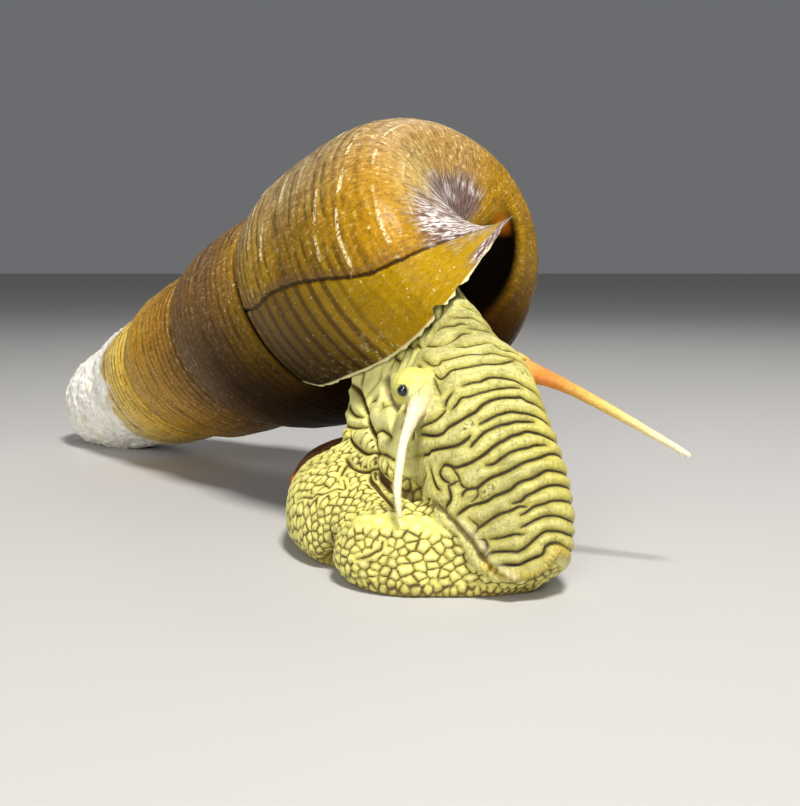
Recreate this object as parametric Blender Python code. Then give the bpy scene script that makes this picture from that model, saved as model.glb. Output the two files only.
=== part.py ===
"""Rabbit snail, life size: a crawling snail with its long, blunt-tipped shell held up behind the head.

Metres, +Z up. The origin is at the middle of the foot's sole. The head points to -Y and the shell's
apex trails to -X, +Y, where it rests on the ground.
"""
import math

import bmesh
import bpy
from mathutils import Matrix, Vector

MM = 0.001
GAP = 0.0003                      # clearance between pieces that touch

# Shell: one oval that grows as it turns to the right round an axis, sizes at the lip
SHELL_TURN = math.radians(47.7)   # the axis points this far from +X towards -Y
SHELL_RISE = math.radians(17.5)   # and this far above the ground
SHELL_START = Vector((-66.0, 82.9, -9.7)) * MM   # the point that the spiral grows from
SHRINK = 0.846                    # size of a whorl against the one after it
LIP_ANGLE = math.radians(137.3)   # the lip, from the top of the shell over its front
OVAL_ALONG = 100.6 * MM           # oval's middle, from the start point along the axis
OVAL_OUT = 4.7 * MM               # and out from the axis
OVAL_WIDE = 7.5 * MM              # half width, away from the axis
OVAL_UP = 12.4 * MM               # half length towards the apex
OVAL_DOWN = 12.9 * MM             # half length towards the base
OVAL_LEAN = 0.061
CURVE_UP = 2.2                    # roundness of the oval towards the apex
CURVE_DOWN = 3.4                  # and towards the base, which is fuller
BASE_OUT = 0.26                   # the far side of the last whorl is this much wider
BASE_DOWN = 4.4 * MM              # and its base this much lower
PILLAR = 1.3 * MM                 # radius of the columella
WHORLS = 6
WORN_TIP = (                      # outline of the blunt, worn apex in mm: along the axis, and from it
    (41.6, 1.4), (42.3, 3.0), (43.8, 4.2), (46.2, 5.1), (49.8, 6.2),
    (55.0, 9.0), (70.0, 20.0), (130.0, 60.0),
)
LIP_THICK = 0.8 * MM
LIP_RECESS = 0.1                  # depth of the mouth of the shell, in turns
RECESS_BELOW_SEAM = 0.42          # and how far it starts from the seam, round the oval
TURN_STEPS = 48
BAND_STEPS = 6
BASE_STEPS = 10
RECESS_STEPS = 12
RECESS_TURN_STEPS = 5
TIP_SIDES = 32
FOOT_SIDES = 14
HEAD_SIDES = 24
TENTACLE_SIDES = 14
MERGE = 0.00002

# Foot: half widths and heights along its length, from the front edge to the tail
FOOT_LINE = (                     # x, y, half width, height, squareness of the top
    (0.8, -14.7, 2.6, 1.4, 0.7),
    (0.7, -13.7, 5.0, 3.8, 0.7),
    (0.7, -11.6, 6.8, 5.2, 0.7),
    (0.5, -9.0, 7.2, 5.4, 0.7),
    (-0.5, -6.2, 8.3, 5.8, 0.62),
    (-1.6, -2.5, 8.6, 6.7, 0.54),
    (-2.5, 1.5, 7.9, 7.0, 0.52),
    (-3.4, 6.0, 6.6, 6.5, 0.54),
    (-4.6, 11.0, 5.2, 5.1, 0.6),
    (-5.9, 15.0, 3.2, 3.4, 0.65),
    (-6.7, 17.4, 1.3, 1.9, 0.7),
)
DOME = [(0.24, 0.9), (0.48, 0.62), (0.6, 0.25)]  # rounded end: how far on, and its size there
SOLE_INSET = 0.86                 # the sole's width against the foot's
FOOT_SPLIT = -3.0 * MM            # the front lobe of the foot ends here

# Neck, from inside the shell to the back of the head
NECK_LINE = (                     # x, y, z, half width, half depth
    (-2.4, 4.9, 19.5, 4.7, 3.3),
    (-1.8, 3.9, 16.5, 5.4, 3.5),
    (-0.8, 2.1, 13.1, 6.6, 4.4),
    (-0.1, -0.1, 9.8, 7.1, 5.3),
    (-0.2, -1.4, 6.8, 7.2, 5.8),
    (-0.5, -2.0, 4.4, 6.8, 5.6),
)
NECK_WIDE = Vector((0.642, -0.7055, 0.3004))     # long side of the neck, as the shell's mouth

# Head and snout, from under the shell's lip to the mouth
HEAD_LINE = (                     # x, y, z, half width, half depth
    (0.3, 0.7, 18.2, 1.9, 1.9),
    (0.7, -0.4, 16.6, 2.6, 2.3),
    (1.7, -2.4, 14.5, 3.3, 2.8),
    (2.4, -4.3, 12.8, 3.9, 3.3),
    (2.95, -5.8, 11.4, 4.2, 3.7),
    (3.45, -8.2, 9.7, 4.25, 3.7),
    (3.95, -10.0, 7.4, 4.55, 3.6),
    (4.6, -11.5, 5.0, 4.5, 3.3),
    (5.4, -12.8, 2.9, 3.9, 2.8),
    (5.9, -13.5, 1.9, 3.3, 2.4),
)
HEAD_END = 6                      # the snout starts past this station
MOUTH_PLACE = Vector((6.5, -13.9, 1.75)) * MM
MOUTH_FACING = Vector((0.5, -0.6, -0.62))
MOUTH_LONG = 2.3 * MM             # half the height of the lips
MOUTH_WIDE = 1.7 * MM             # and half their width
MOUTH_THICK = 0.9 * MM
MOUTH_SLIT = (0.5 * MM, 2.6 * MM, 1.0 * MM)      # width, length and depth of the opening

# Tentacles, root to tip: x, y, z, radius
TENTACLE_RIGHT = (
    (0.9, -7.3, 12.6, 1.2),
    (0.15, -8.5, 12.4, 1.05),
    (-0.63, -9.4, 11.85, 0.76),
    (-1.12, -10.3, 10.9, 0.53),
    (-1.46, -11.0, 10.15, 0.41),
    (-1.78, -11.6, 9.3, 0.33),
    (-2.0, -12.5, 8.1, 0.31),
    (-2.16, -13.2, 6.7, 0.28),
    (-2.1, -13.5, 5.6, 0.22),
    (-2.0, -13.55, 4.9, 0.15),
)
TENTACLE_LEFT = (
    (3.6, -3.7, 13.8, 1.35),
    (5.1, -4.5, 13.5, 1.3),
    (6.4, -4.9, 13.25, 1.05),
    (7.6, -5.4, 13.02, 0.66),
    (8.95, -5.7, 12.5, 0.51),
    (10.3, -6.0, 11.85, 0.43),
    (12.9, -6.8, 10.45, 0.36),
    (15.46, -7.6, 8.99, 0.29),
    (16.9, -8.0, 8.15, 0.25),
    (17.35, -8.1, 7.85, 0.2),
)
TENTACLE_SPLIT = 5                # each tentacle is in two lengths, parted here
EYE_RADIUS = 0.4 * MM
BULGE_RIGHT = Vector((-1.1, -8.0, 12.55)) * MM
BULGE_RIGHT_SIZE = (1.6, 1.45, 1.3)
EYE_RIGHT = Vector((-1.84, -9.25, 12.38)) * MM
BULGE_LEFT = Vector((6.9, -4.1, 13.0)) * MM
BULGE_LEFT_SIZE = (1.05, 1.05, 0.95)
EYE_LEFT = Vector((7.6, -3.3, 12.9)) * MM

# Operculum: the horny lid carried on the back of the foot
LID_PLACE = Vector((-9.0, 8.4, 5.8)) * MM
LID_LONG = 4.3 * MM
LID_WIDE = 3.05 * MM
LID_THICK = 0.6 * MM
LID_DOME = 0.9 * MM
LID_SIDES = 28
LID_LEVELS = ((-0.5, 0.94), (-0.2, 1.0), (0.1, 0.97), (0.35, 0.7), (0.5, 0.3))   # height, size
LID_TILT = (math.radians(-34), math.radians(12), math.radians(112))


def material(name, colour, roughness):
    mat = bpy.data.materials.new(name)
    mat.use_nodes = True
    shader = mat.node_tree.nodes["Principled BSDF"]
    shader.inputs["Base Color"].default_value = (*colour, 1.0)
    shader.inputs["Roughness"].default_value = roughness
    shader.inputs["Metallic"].default_value = 0.0
    return mat


def make_object(name, bm, home, mat=None):
    bmesh.ops.recalc_face_normals(bm, faces=bm.faces[:])
    mesh = bpy.data.meshes.new(name)
    bm.to_mesh(mesh)
    bm.free()
    obj = bpy.data.objects.new(name, mesh)
    home.objects.link(obj)
    if mat:
        mesh.materials.append(mat)
    return obj


def shell_frame():
    along = Vector((math.cos(SHELL_TURN), -math.sin(SHELL_TURN), 0.0)) * math.cos(SHELL_RISE)
    along.z = math.sin(SHELL_RISE)
    up = (Vector((0, 0, 1)) - along * along.z).normalized()
    return along, up, along.cross(up)


AXIS, AXIS_UP, AXIS_FRONT = shell_frame()


def power(value, exponent):
    return math.copysign(abs(value) ** exponent, value)


def oval(phi):
    """Point of the growing oval: 0 is the base, 90 degrees the outside, 180 the apex side."""
    c, s = math.cos(phi), math.sin(phi)
    curve = CURVE_DOWN if c > 0 else CURVE_UP
    half = OVAL_DOWN if c > 0 else OVAL_UP
    da = half * power(c, 2 / curve)
    return OVAL_ALONG + da, OVAL_OUT + OVAL_WIDE * power(s, 2 / curve) + OVAL_LEAN * da


def whorl(turns, phi):
    """The oval after so many turns back from the lip: distance along the axis, and from it."""
    a, r = oval(phi)
    base = min(max((a - OVAL_ALONG) / OVAL_DOWN, 0.0), 1.0)
    full = math.sin(math.pi * min(max((turns - 0.3) / 0.7, 0.0), 1.0)) ** 2
    side = min(0.35 + base, 1.0) * min(max((math.radians(125) - phi) / 0.6, 0.0), 1.0)
    a += BASE_DOWN * full * base
    r *= 1 + BASE_OUT * full * side
    size = SHRINK ** turns
    return a * size, r * size


def shell_point(turns, a, r):
    angle = LIP_ANGLE - 2 * math.pi * turns
    out = AXIS_UP * math.cos(angle) + AXIS_FRONT * math.sin(angle)
    return SHELL_START + AXIS * a + out * r


def older_radius(turns, a):
    """Outside of the whorl one turn older, at a distance along the axis."""
    size = SHRINK ** (turns + 1)
    da = a / size - OVAL_ALONG
    half, curve = (OVAL_DOWN, CURVE_DOWN) if da > 0 else (OVAL_UP, CURVE_UP)
    if abs(da) >= half:
        return 0.0
    wide = OVAL_WIDE * (1 - (abs(da) / half) ** curve) ** (1 / curve)
    return (OVAL_OUT + wide + OVAL_LEAN * da) * size


def suture_angles():
    """Where the oval leaves the older whorl, and where the next whorl covers it."""
    low, high = math.radians(95), math.radians(175)
    for _ in range(50):
        phi = (low + high) / 2
        a, r = oval(phi)
        if r > older_radius(0.0, a):
            low = phi
        else:
            high = phi
    a_seam = oval(low)[0] / SHRINK
    near, far = math.radians(10), math.radians(89)
    for _ in range(50):
        phi = (near + far) / 2
        if oval(phi)[0] > a_seam:
            near = phi
        else:
            far = phi
    return low, near


SEAM_OLD, SEAM_NEXT = suture_angles()


def pillar_angle():
    """How far the oval runs on round the base until it meets the columella."""
    phi = 0.0
    while oval(phi)[1] > PILLAR:
        phi -= 0.01
    return phi


def profile_angles(inner):
    """Angles down one whorl: over its base up to the seam with the next one, then its band."""
    base = [inner + (SEAM_NEXT - inner) * j / BASE_STEPS for j in range(BASE_STEPS + 1)]
    band = [SEAM_NEXT + (SEAM_OLD - SEAM_NEXT) * j / BAND_STEPS for j in range(1, BAND_STEPS + 1)]
    return base, band


def shell_outside(grow=0.0):
    """The whole outside as one closed solid, with a flat wall where the shell's mouth will be."""
    bm = bmesh.new()
    base, band = profile_angles(pillar_angle())

    lead = grow / (2 * math.pi * OVAL_OUT)

    def add(turns, phis):
        column = []
        for phi in phis:
            a, r = whorl(turns - lead, phi)
            a += grow * math.cos(phi)
            r += grow * max(math.sin(phi), 0.0)
            column.append(bm.verts.new(shell_point(turns - lead, a, r)))
        return column

    def pillar_end(turns):
        return bm.verts.new(shell_point(turns, (oval(base[0])[0] + grow) * SHRINK ** turns, 0.0))

    columns = []
    for i in range(TURN_STEPS):
        turns = i / TURN_STEPS
        column = [pillar_end(turns)] + add(turns, base)
        for n in range(WHORLS + (i == 0)):
            column += add(turns + n, band)
        columns.append(column)
    # A turn on, the first column is met again one whorl higher, over the base that it covers
    first = columns[0]
    seam = len(base) + BAND_STEPS
    columns.append([pillar_end(1.0)] + add(1.0, base[:-1]) + first[seam:])
    for left, right in zip(columns, columns[1:]):
        for k in range(len(columns[-1]) - 1):
            bm.faces.new((left[k], left[k + 1], right[k + 1], right[k]))
    # Wall across the mouth of the shell
    under = columns[-1][:len(base)]
    bm.faces.new(first[:seam + 1] + under[::-1] + [c[0] for c in columns[-2:0:-1]])
    # Flat end, cut away later by the worn tip
    rim = [first[-1 - BAND_STEPS]] + [c[-1] for c in columns[1:-1]] + first[:-1 - BAND_STEPS:-1]
    middle = bm.verts.new(sum((v.co for v in rim), Vector()) / len(rim))
    for k, vert in enumerate(rim):
        bm.faces.new((vert, rim[(k + 1) % len(rim)], middle))
    return bm


def worn_tip():
    """Round form about the axis that the shell stays inside."""
    bm = bmesh.new()
    rings = []
    for a, r in WORN_TIP:
        ring = [bm.verts.new(shell_point(k / TIP_SIDES, a * MM, r * MM)) for k in range(TIP_SIDES)]
        rings.append(ring)
    join_rings(bm, rings)
    return bm


def recess_ring(turns, margin):
    """Outline of the shell's inside on one half plane through the axis."""
    size = SHRINK ** turns
    wall = LIP_THICK + margin
    start, end = SEAM_OLD - RECESS_BELOW_SEAM, pillar_angle() + 0.16
    ring = []
    for j in range(RECESS_STEPS + 1):
        a, r = whorl(turns, start + (end - start) * j / RECESS_STEPS)
        middle = OVAL_ALONG * size
        ring.append((middle + (a - middle) * (1 - wall / OVAL_DOWN), r - wall * size))
    top, bottom = ring[0][0] + 0.4 * MM, ring[-1][0] - 0.9 * MM
    for j in range(RECESS_STEPS):
        ring.append((bottom + (top - bottom) * j / (RECESS_STEPS - 1), (PILLAR + wall) * size))
    return ring


def shell_recess(margin=0.0):
    """Cutter for the mouth of the shell, from just outside it to the end of the recess."""
    bm = bmesh.new()
    depth = LIP_RECESS - margin / (2 * math.pi * OVAL_OUT)
    rings = []
    for i in range(RECESS_TURN_STEPS + 1):
        turns = -0.02 + (depth + 0.02) * i / RECESS_TURN_STEPS
        ring = recess_ring(max(turns, 0.0), margin)
        rings.append([bm.verts.new(shell_point(turns, a, r)) for a, r in ring])
    join_rings(bm, rings)
    return bm


def join_rings(bm, rings):
    """Skin over a row of closed rings, with a flat face at both ends."""
    for left, right in zip(rings, rings[1:]):
        for k in range(len(left)):
            n = (k + 1) % len(left)
            bm.faces.new((left[k], left[n], right[n], right[k]))
    bm.faces.new(rings[0])
    bm.faces.new(rings[-1][::-1])


def spline(stations, steps):
    """Points on a smooth curve through rows of numbers, ends included."""
    rows = [Vector(row) for row in stations]
    rows = [rows[0] * 2 - rows[1]] + rows + [rows[-1] * 2 - rows[-2]]
    out = []
    for k in range(1, len(rows) - 2):
        before, a, b, after = rows[k - 1:k + 3]
        for j in range(steps):
            t = j / steps
            out.append(0.5 * (2 * a + (b - before) * t + (2 * before - 5 * a + 4 * b - after) * t ** 2
                              + (3 * a - before - 3 * b + after) * t ** 3))
    return out + [rows[-2]]


def tube(line, steps, sides, grow=0.0, wide=Vector((1, 0, 0)), square=2.0):
    """Loft along a line of x, y, z, half width, half depth in mm, with rounded ends."""
    rows = spline(line, steps)
    bm = bmesh.new()
    rings = []
    count = len(rows)
    for i, row in enumerate(rows):
        here = Vector(row[:3]) * MM
        ahead = Vector(rows[min(i + 1, count - 1)][:3]) - Vector(rows[max(i - 1, 0)][:3])
        ahead.normalize()
        half = row[3] * MM + grow
        deep = (row[4] if len(row) > 4 else row[3]) * MM + grow
        side = (wide - ahead * wide.dot(ahead)).normalized()
        over = ahead.cross(side)
        shapes = [(0.0, 1.0)]
        if i == 0:
            shapes = [(-shift, scale) for shift, scale in DOME[::-1]] + shapes
        if i == count - 1:
            shapes += DOME
        for shift, scale in shapes:
            middle = here + ahead * shift * min(half, deep)
            ring = []
            for k in range(sides):
                turn = 2 * math.pi * k / sides
                c, s = power(math.cos(turn), 2 / square), power(math.sin(turn), 2 / square)
                ring.append(bm.verts.new(middle + (side * c * half + over * s * deep) * scale))
            rings.append(ring)
    join_rings(bm, rings)
    return bm


def foot_solid(grow=0.0):
    """Foot: cross sections along its length, flat below and domed above."""
    rows = spline(FOOT_LINE, 2)
    bm = bmesh.new()
    rings = []
    for x, y, half, high, square in rows:
        half, high = half * MM + grow, high * MM + grow
        ring = [bm.verts.new(((x * MM) - half * SOLE_INSET, y * MM, 0.0)),
                bm.verts.new(((x * MM) + half * SOLE_INSET, y * MM, 0.0))]
        for k in range(FOOT_SIDES + 1):
            turn = math.pi * k / FOOT_SIDES
            c, s = power(math.cos(turn), 0.8), power(math.sin(turn), square)
            ring.append(bm.verts.new(((x * MM) + half * c, y * MM, high * (0.2 + 0.8 * s))))
        rings.append(ring)
    join_rings(bm, rings)
    return bm


def boolean(obj, cutters, operation, solver="EXACT"):
    """Apply one Boolean with each cutter, and remove the cutters."""
    for cutter in cutters:
        cutter.hide_render = True
        cutter.display_type = "WIRE"
        mod = obj.modifiers.new("cut", "BOOLEAN")
        mod.operation = operation
        mod.solver = solver
        mod.object = cutter
        apply_modifiers(obj)
    for cutter in cutters:
        bpy.data.objects.remove(cutter)
    keep_largest(obj)


def apply_modifiers(obj):
    bpy.context.view_layer.update()
    graph = bpy.context.evaluated_depsgraph_get()
    mesh = bpy.data.meshes.new_from_object(obj.evaluated_get(graph))
    obj.modifiers.clear()
    old = obj.data
    obj.data = mesh
    bpy.data.meshes.remove(old)


def keep_largest(obj):
    """Keep the largest closed surface of a mesh and drop sealed hollows and scraps."""
    bm = bmesh.new()
    bm.from_mesh(obj.data)
    bmesh.ops.remove_doubles(bm, verts=bm.verts[:], dist=MERGE)
    bmesh.ops.triangulate(bm, faces=bm.faces[:])
    bmesh.ops.dissolve_degenerate(bm, edges=bm.edges[:], dist=MERGE)
    left = set(bm.faces)
    parts = []
    while left:
        seed = left.pop()
        part, todo = {seed}, [seed]
        while todo:
            for edge in todo.pop().edges:
                for face in edge.link_faces:
                    if face in left:
                        left.remove(face)
                        part.add(face)
                        todo.append(face)
        parts.append(part)
    parts.sort(key=lambda part: sum(face.calc_area() for face in part))
    drop = [face for part in parts[:-1] for face in part]
    bmesh.ops.delete(bm, geom=drop, context="FACES")
    bm.to_mesh(obj.data)
    bm.free()


def smooth(obj, sharp=40):
    obj.data.shade_smooth()
    obj.data.set_sharp_from_angle(angle=math.radians(sharp))


def block(name, home, place, facing, size=60 * MM):
    """Large cutter that fills everything ahead of a plane, from half a gap past it."""
    bm = bmesh.new()
    bmesh.ops.create_cube(bm, size=size)
    spin = Vector((0, 0, 1)).rotation_difference(facing).to_matrix().to_4x4()
    ahead = facing.normalized() * (size / 2 - GAP / 2)
    bmesh.ops.transform(bm, verts=bm.verts[:], matrix=Matrix.Translation(place + ahead) @ spin)
    return make_object(name, bm, home)


def half_of(source, name, home, cutters, place, facing, mat):
    """Copy of a form with everything ahead of a plane taken off, up to half a gap behind it."""
    obj = bpy.data.objects.new(name, source.data.copy())
    home.objects.link(obj)
    obj.data.name = name
    obj.data.materials.clear()
    obj.data.materials.append(mat)
    boolean(obj, [block(name + "_cut", cutters, place, facing)], "DIFFERENCE")
    smooth(obj)
    return obj


def floor_block(home):
    return block("floor", home, Vector((0, 0, -GAP / 2)), Vector((0, 0, -1)), 200 * MM)


def build_shell(home, cutters, mat):
    shell = make_object("shell", shell_outside(), home, mat)
    boolean(shell, [make_object("worn_tip", worn_tip(), cutters)], "INTERSECT")
    boolean(shell, [make_object("recess", shell_recess(), cutters), floor_block(cutters)], "DIFFERENCE")
    smooth(shell, 50)
    return shell


def grown_shell(cutters):
    """The shell with its walls thicker by the gap, to keep the flesh clear of it."""
    shell = make_object("shell_grown", shell_outside(GAP), cutters)
    boolean(shell, [make_object("recess", shell_recess(GAP), cutters)], "DIFFERENCE")
    return shell


def lid_form(name, home, grow=0.0):
    """Oval horny plate, a little domed, thinner to its edge."""
    bm = bmesh.new()
    rings = []
    for height, scale in LID_LEVELS:
        ring = []
        for k in range(LID_SIDES):
            turn = 2 * math.pi * k / LID_SIDES
            x = math.cos(turn) * (LID_LONG + grow)
            y = math.sin(turn) * (LID_WIDE + grow) * (1 - 0.18 * math.cos(turn))
            bend = LID_DOME * scale ** 2
            ring.append(bm.verts.new((x * scale, y * scale, height * (LID_THICK + 2 * grow) - bend)))
        rings.append(ring)
    join_rings(bm, rings)
    spin = Matrix.Rotation(LID_TILT[2], 4, "Z") @ Matrix.Rotation(LID_TILT[1], 4, "Y")
    spin = spin @ Matrix.Rotation(LID_TILT[0], 4, "X")
    bmesh.ops.transform(bm, verts=bm.verts[:], matrix=Matrix.Translation(LID_PLACE) @ spin)
    return make_object(name, bm, home)


def ball(name, home, place, radius, stretch=(1.0, 1.0, 1.0), facing=Vector((0, 0, 1))):
    """Ball, or an oval pad whose third size lies along the way it faces."""
    bm = bmesh.new()
    bmesh.ops.create_icosphere(bm, subdivisions=3, radius=radius)
    spin = facing.to_track_quat("Z", "Y").to_matrix().to_4x4()
    size = Matrix.Diagonal((*stretch, 1.0))
    bmesh.ops.transform(bm, verts=bm.verts[:], matrix=Matrix.Translation(place) @ spin @ size)
    return make_object(name, bm, home)


def mouth_form(name, home, grow=0.0):
    stretch = (MOUTH_WIDE + grow, MOUTH_LONG + grow, MOUTH_THICK + grow)
    return ball(name, home, MOUTH_PLACE, 1.0, stretch, MOUTH_FACING)


def build_mouth(home, cutters, mat):
    """Lips round a slit, set in the end of the snout."""
    mouth = mouth_form("mouth", home)
    mouth.data.materials.append(mat)
    bm = bmesh.new()
    bmesh.ops.create_cube(bm, size=1.0)
    spin = MOUTH_FACING.to_track_quat("Z", "Y").to_matrix().to_4x4()
    place = Matrix.Translation(MOUTH_PLACE + MOUTH_FACING.normalized() * MOUTH_THICK)
    bmesh.ops.transform(bm, verts=bm.verts[:], matrix=place @ spin @ Matrix.Diagonal((*MOUTH_SLIT, 1.0)))
    boolean(mouth, [make_object("slit", bm, cutters), floor_block(cutters)], "DIFFERENCE")
    smooth(mouth, 50)


def head_form(home, grow=0.0):
    return make_object("head_form", tube(HEAD_LINE, 3, HEAD_SIDES, grow, square=2.3), home)


def build_flesh(home, cutters, mat):
    """Foot, neck, head and snout, each clear of the last by the gap."""
    head = head_form(cutters)
    boolean(head, [grown_shell(cutters)], "DIFFERENCE")
    place = Vector(HEAD_LINE[HEAD_END][:3]) * MM
    facing = Vector(HEAD_LINE[HEAD_END + 1][:3]) - Vector(HEAD_LINE[HEAD_END - 1][:3])
    half_of(head, "head", home, cutters, place, facing, mat)
    snout = half_of(head, "snout", home, cutters, place, -facing, mat)
    boolean(snout, [mouth_form("mouth_seat", cutters, GAP), floor_block(cutters)], "DIFFERENCE")
    foot = make_object("foot", foot_solid(), cutters)
    seat = lid_form("lid_seat", cutters, GAP)
    boolean(foot, [head_form(cutters, GAP), mouth_form("mouth_seat", cutters, GAP), seat], "DIFFERENCE")
    split = Vector((0.0, FOOT_SPLIT, 0.0))
    half_of(foot, "foot_front", home, cutters, split, Vector((0, 1, 0)), mat)
    half_of(foot, "foot_tail", home, cutters, split, Vector((0, -1, 0)), mat)
    neck = make_object("neck", tube(NECK_LINE, 3, HEAD_SIDES, 0.0, NECK_WIDE, square=2.4), home, mat)
    foot_cut = make_object("foot_cut", foot_solid(GAP), cutters)
    seat = lid_form("lid_seat", cutters, GAP)
    boolean(neck, [foot_cut, head_form(cutters, GAP), grown_shell(cutters), seat], "DIFFERENCE")
    bpy.data.objects.remove(head)
    bpy.data.objects.remove(foot)
    smooth(neck)
    smooth(snout)


def build_tentacle(side, line, bulge, size, eye, home, cutters, mats):
    """Tentacle in two lengths, with the eye on a bulge at the outside of its root."""
    whole = make_object("tentacle", tube(line, 3, TENTACLE_SIDES), cutters)
    boolean(whole, [ball("bulge", cutters, bulge, MM, size)], "UNION")
    boolean(whole, [head_form(cutters, GAP), ball("socket", cutters, eye, EYE_RADIUS + GAP)], "DIFFERENCE")
    place = Vector(line[TENTACLE_SPLIT][:3]) * MM
    facing = Vector(line[TENTACLE_SPLIT][:3]) - Vector(line[TENTACLE_SPLIT - 1][:3])
    half_of(whole, "tentacle_" + side + "_base", home, cutters, place, facing, mats[0])
    half_of(whole, "tentacle_" + side + "_tip", home, cutters, place, -facing, mats[0])
    bpy.data.objects.remove(whole)
    eyeball = ball("eye_" + side, home, eye, EYE_RADIUS)
    eyeball.data.materials.append(mats[1])
    smooth(eyeball)


def main():
    for obj in list(bpy.data.objects):
        bpy.data.objects.remove(obj)
    home = bpy.data.collections.new("rabbit_snail")
    cutters = bpy.data.collections.new("cutters")
    for group in (home, cutters):
        bpy.context.scene.collection.children.link(group)
    flesh = material("flesh", (0.66, 0.62, 0.19), 0.42)
    feeler = material("feeler", (0.90, 0.72, 0.38), 0.4)
    lips = material("lips", (0.74, 0.62, 0.16), 0.45)
    horn = material("horn", (0.09, 0.04, 0.02), 0.5)
    coat = material("shell_coat", (0.32, 0.18, 0.04), 0.35)
    black = material("eye", (0.01, 0.012, 0.03), 0.1)
    build_shell(home, cutters, coat)
    lid = lid_form("operculum", home)
    lid.data.materials.append(horn)
    smooth(lid)
    build_flesh(home, cutters, flesh)
    build_mouth(home, cutters, lips)
    mats = (feeler, black)
    build_tentacle("right", TENTACLE_RIGHT, BULGE_RIGHT, BULGE_RIGHT_SIZE, EYE_RIGHT, home, cutters, mats)
    build_tentacle("left", TENTACLE_LEFT, BULGE_LEFT, BULGE_LEFT_SIZE, EYE_LEFT, home, cutters, mats)


main()
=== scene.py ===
import math
from itertools import product

import bmesh
import bpy
import numpy as np
from mathutils import Matrix, Vector, kdtree, noise
from mathutils.bvhtree import BVHTree


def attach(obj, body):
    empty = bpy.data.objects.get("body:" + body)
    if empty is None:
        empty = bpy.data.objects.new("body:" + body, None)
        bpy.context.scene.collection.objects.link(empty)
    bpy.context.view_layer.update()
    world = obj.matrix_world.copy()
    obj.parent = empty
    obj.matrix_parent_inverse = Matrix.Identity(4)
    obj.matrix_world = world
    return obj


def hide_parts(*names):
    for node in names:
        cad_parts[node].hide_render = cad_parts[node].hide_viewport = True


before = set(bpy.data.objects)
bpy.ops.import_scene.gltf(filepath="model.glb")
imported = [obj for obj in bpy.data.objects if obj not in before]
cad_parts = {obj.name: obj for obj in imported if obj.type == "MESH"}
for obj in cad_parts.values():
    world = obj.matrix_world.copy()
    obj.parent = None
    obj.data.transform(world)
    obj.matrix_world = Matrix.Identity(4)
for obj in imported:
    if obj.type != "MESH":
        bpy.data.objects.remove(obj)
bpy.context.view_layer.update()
rng = np.random.default_rng(7)
print("frame loaded")

# The photo's camera, through which lines picked in the photo are also laid on the skin
view = {
    "place": (-2.0, -84.0, 20.5),     # mm
    "tilt": 6.8,                      # degrees below level
    "focus": 1150.0, "imageWidth": 800, "middle": (400, 403),   # pixels of the photo
    "sensorWidth": 36,
}
cameraData = bpy.data.cameras.new("photoView")
camera = bpy.data.objects.new("photoView", cameraData)
bpy.context.scene.collection.objects.link(camera)
camera.location = Vector(view["place"]) / 1000
camera.rotation_euler = (math.radians(90 - view["tilt"]), 0, 0)
cameraData.sensor_fit = "HORIZONTAL"
cameraData.sensor_width = view["sensorWidth"]
cameraData.lens = view["sensorWidth"] * view["focus"] / view["imageWidth"]
cameraData.clip_start = 0.001
bpy.context.scene.camera = camera
print("camera placed")


# Small helpers. All lengths are in mm until a mesh is made.

def smoothStep(x, low, high):
    t = np.clip((x - low) / (high - low), 0.0, 1.0)
    return t * t * (3 - 2 * t)


def bump(x, middle, width):
    return np.exp(-((x - middle) / width) ** 2)


def splineRows(rows, steps):
    # Smooth curve through rows of numbers, ends included
    p = np.array(rows, float)
    p = np.vstack([2 * p[0] - p[1], p, 2 * p[-1] - p[-2]])
    out = []
    for k in range(1, len(p) - 2):
        for j in range(steps):
            t = j / steps
            out.append(0.5 * (2 * p[k] + (p[k + 1] - p[k - 1]) * t
                              + (2 * p[k - 1] - 5 * p[k] + 4 * p[k + 1] - p[k + 2]) * t ** 2
                              + (3 * p[k] - p[k - 1] - 3 * p[k + 1] + p[k + 2]) * t ** 3))
    out.append(p[-2])
    return np.array(out)


def signedPower(value, exponent):
    return np.sign(value) * np.abs(value) ** exponent


def meshFrom(name, points, faces):
    mesh = bpy.data.meshes.new(name)
    mesh.from_pydata(np.asarray(points).tolist(), [], faces)
    mesh.update()
    return mesh


def addObject(name, mesh):
    obj = bpy.data.objects.new(name, mesh)
    bpy.context.scene.collection.objects.link(obj)
    return obj


def ringFaces(rings, count, first=0):
    # Quads between rings of count points each, and a fan of one face at both ends
    faces = []
    for i in range(rings - 1):
        for k in range(count):
            n = (k + 1) % count
            a = first + i * count
            faces.append((a + k, a + n, a + count + n, a + count + k))
    faces.append(tuple(first + k for k in range(count))[::-1])
    faces.append(tuple(first + (rings - 1) * count + k for k in range(count)))
    return faces


def faceOutwards(mesh):
    # Turns the faces outwards, and counts the edges that don't join two of them
    bm = bmesh.new()
    bm.from_mesh(mesh)
    bmesh.ops.recalc_face_normals(bm, faces=bm.faces[:])
    openEdges = sum(len(edge.link_faces) != 2 for edge in bm.edges)
    bm.to_mesh(mesh)
    bm.free()
    return openEdges


def readPoints(mesh):
    flat = np.empty(len(mesh.vertices) * 3)
    mesh.vertices.foreach_get("co", flat)
    return flat.reshape(-1, 3)


def readNormals(mesh):
    flat = np.empty(len(mesh.vertices) * 3)
    mesh.vertex_normals.foreach_get("vector", flat)
    return flat.reshape(-1, 3)


def writePoints(mesh, points):
    mesh.vertices.foreach_set("co", np.ascontiguousarray(points, dtype=np.float32).ravel())
    mesh.update()


def readEdges(mesh):
    flat = np.empty(len(mesh.edges) * 2, dtype=np.int64)
    mesh.edges.foreach_get("vertices", flat)
    return flat.reshape(-1, 2)


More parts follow.
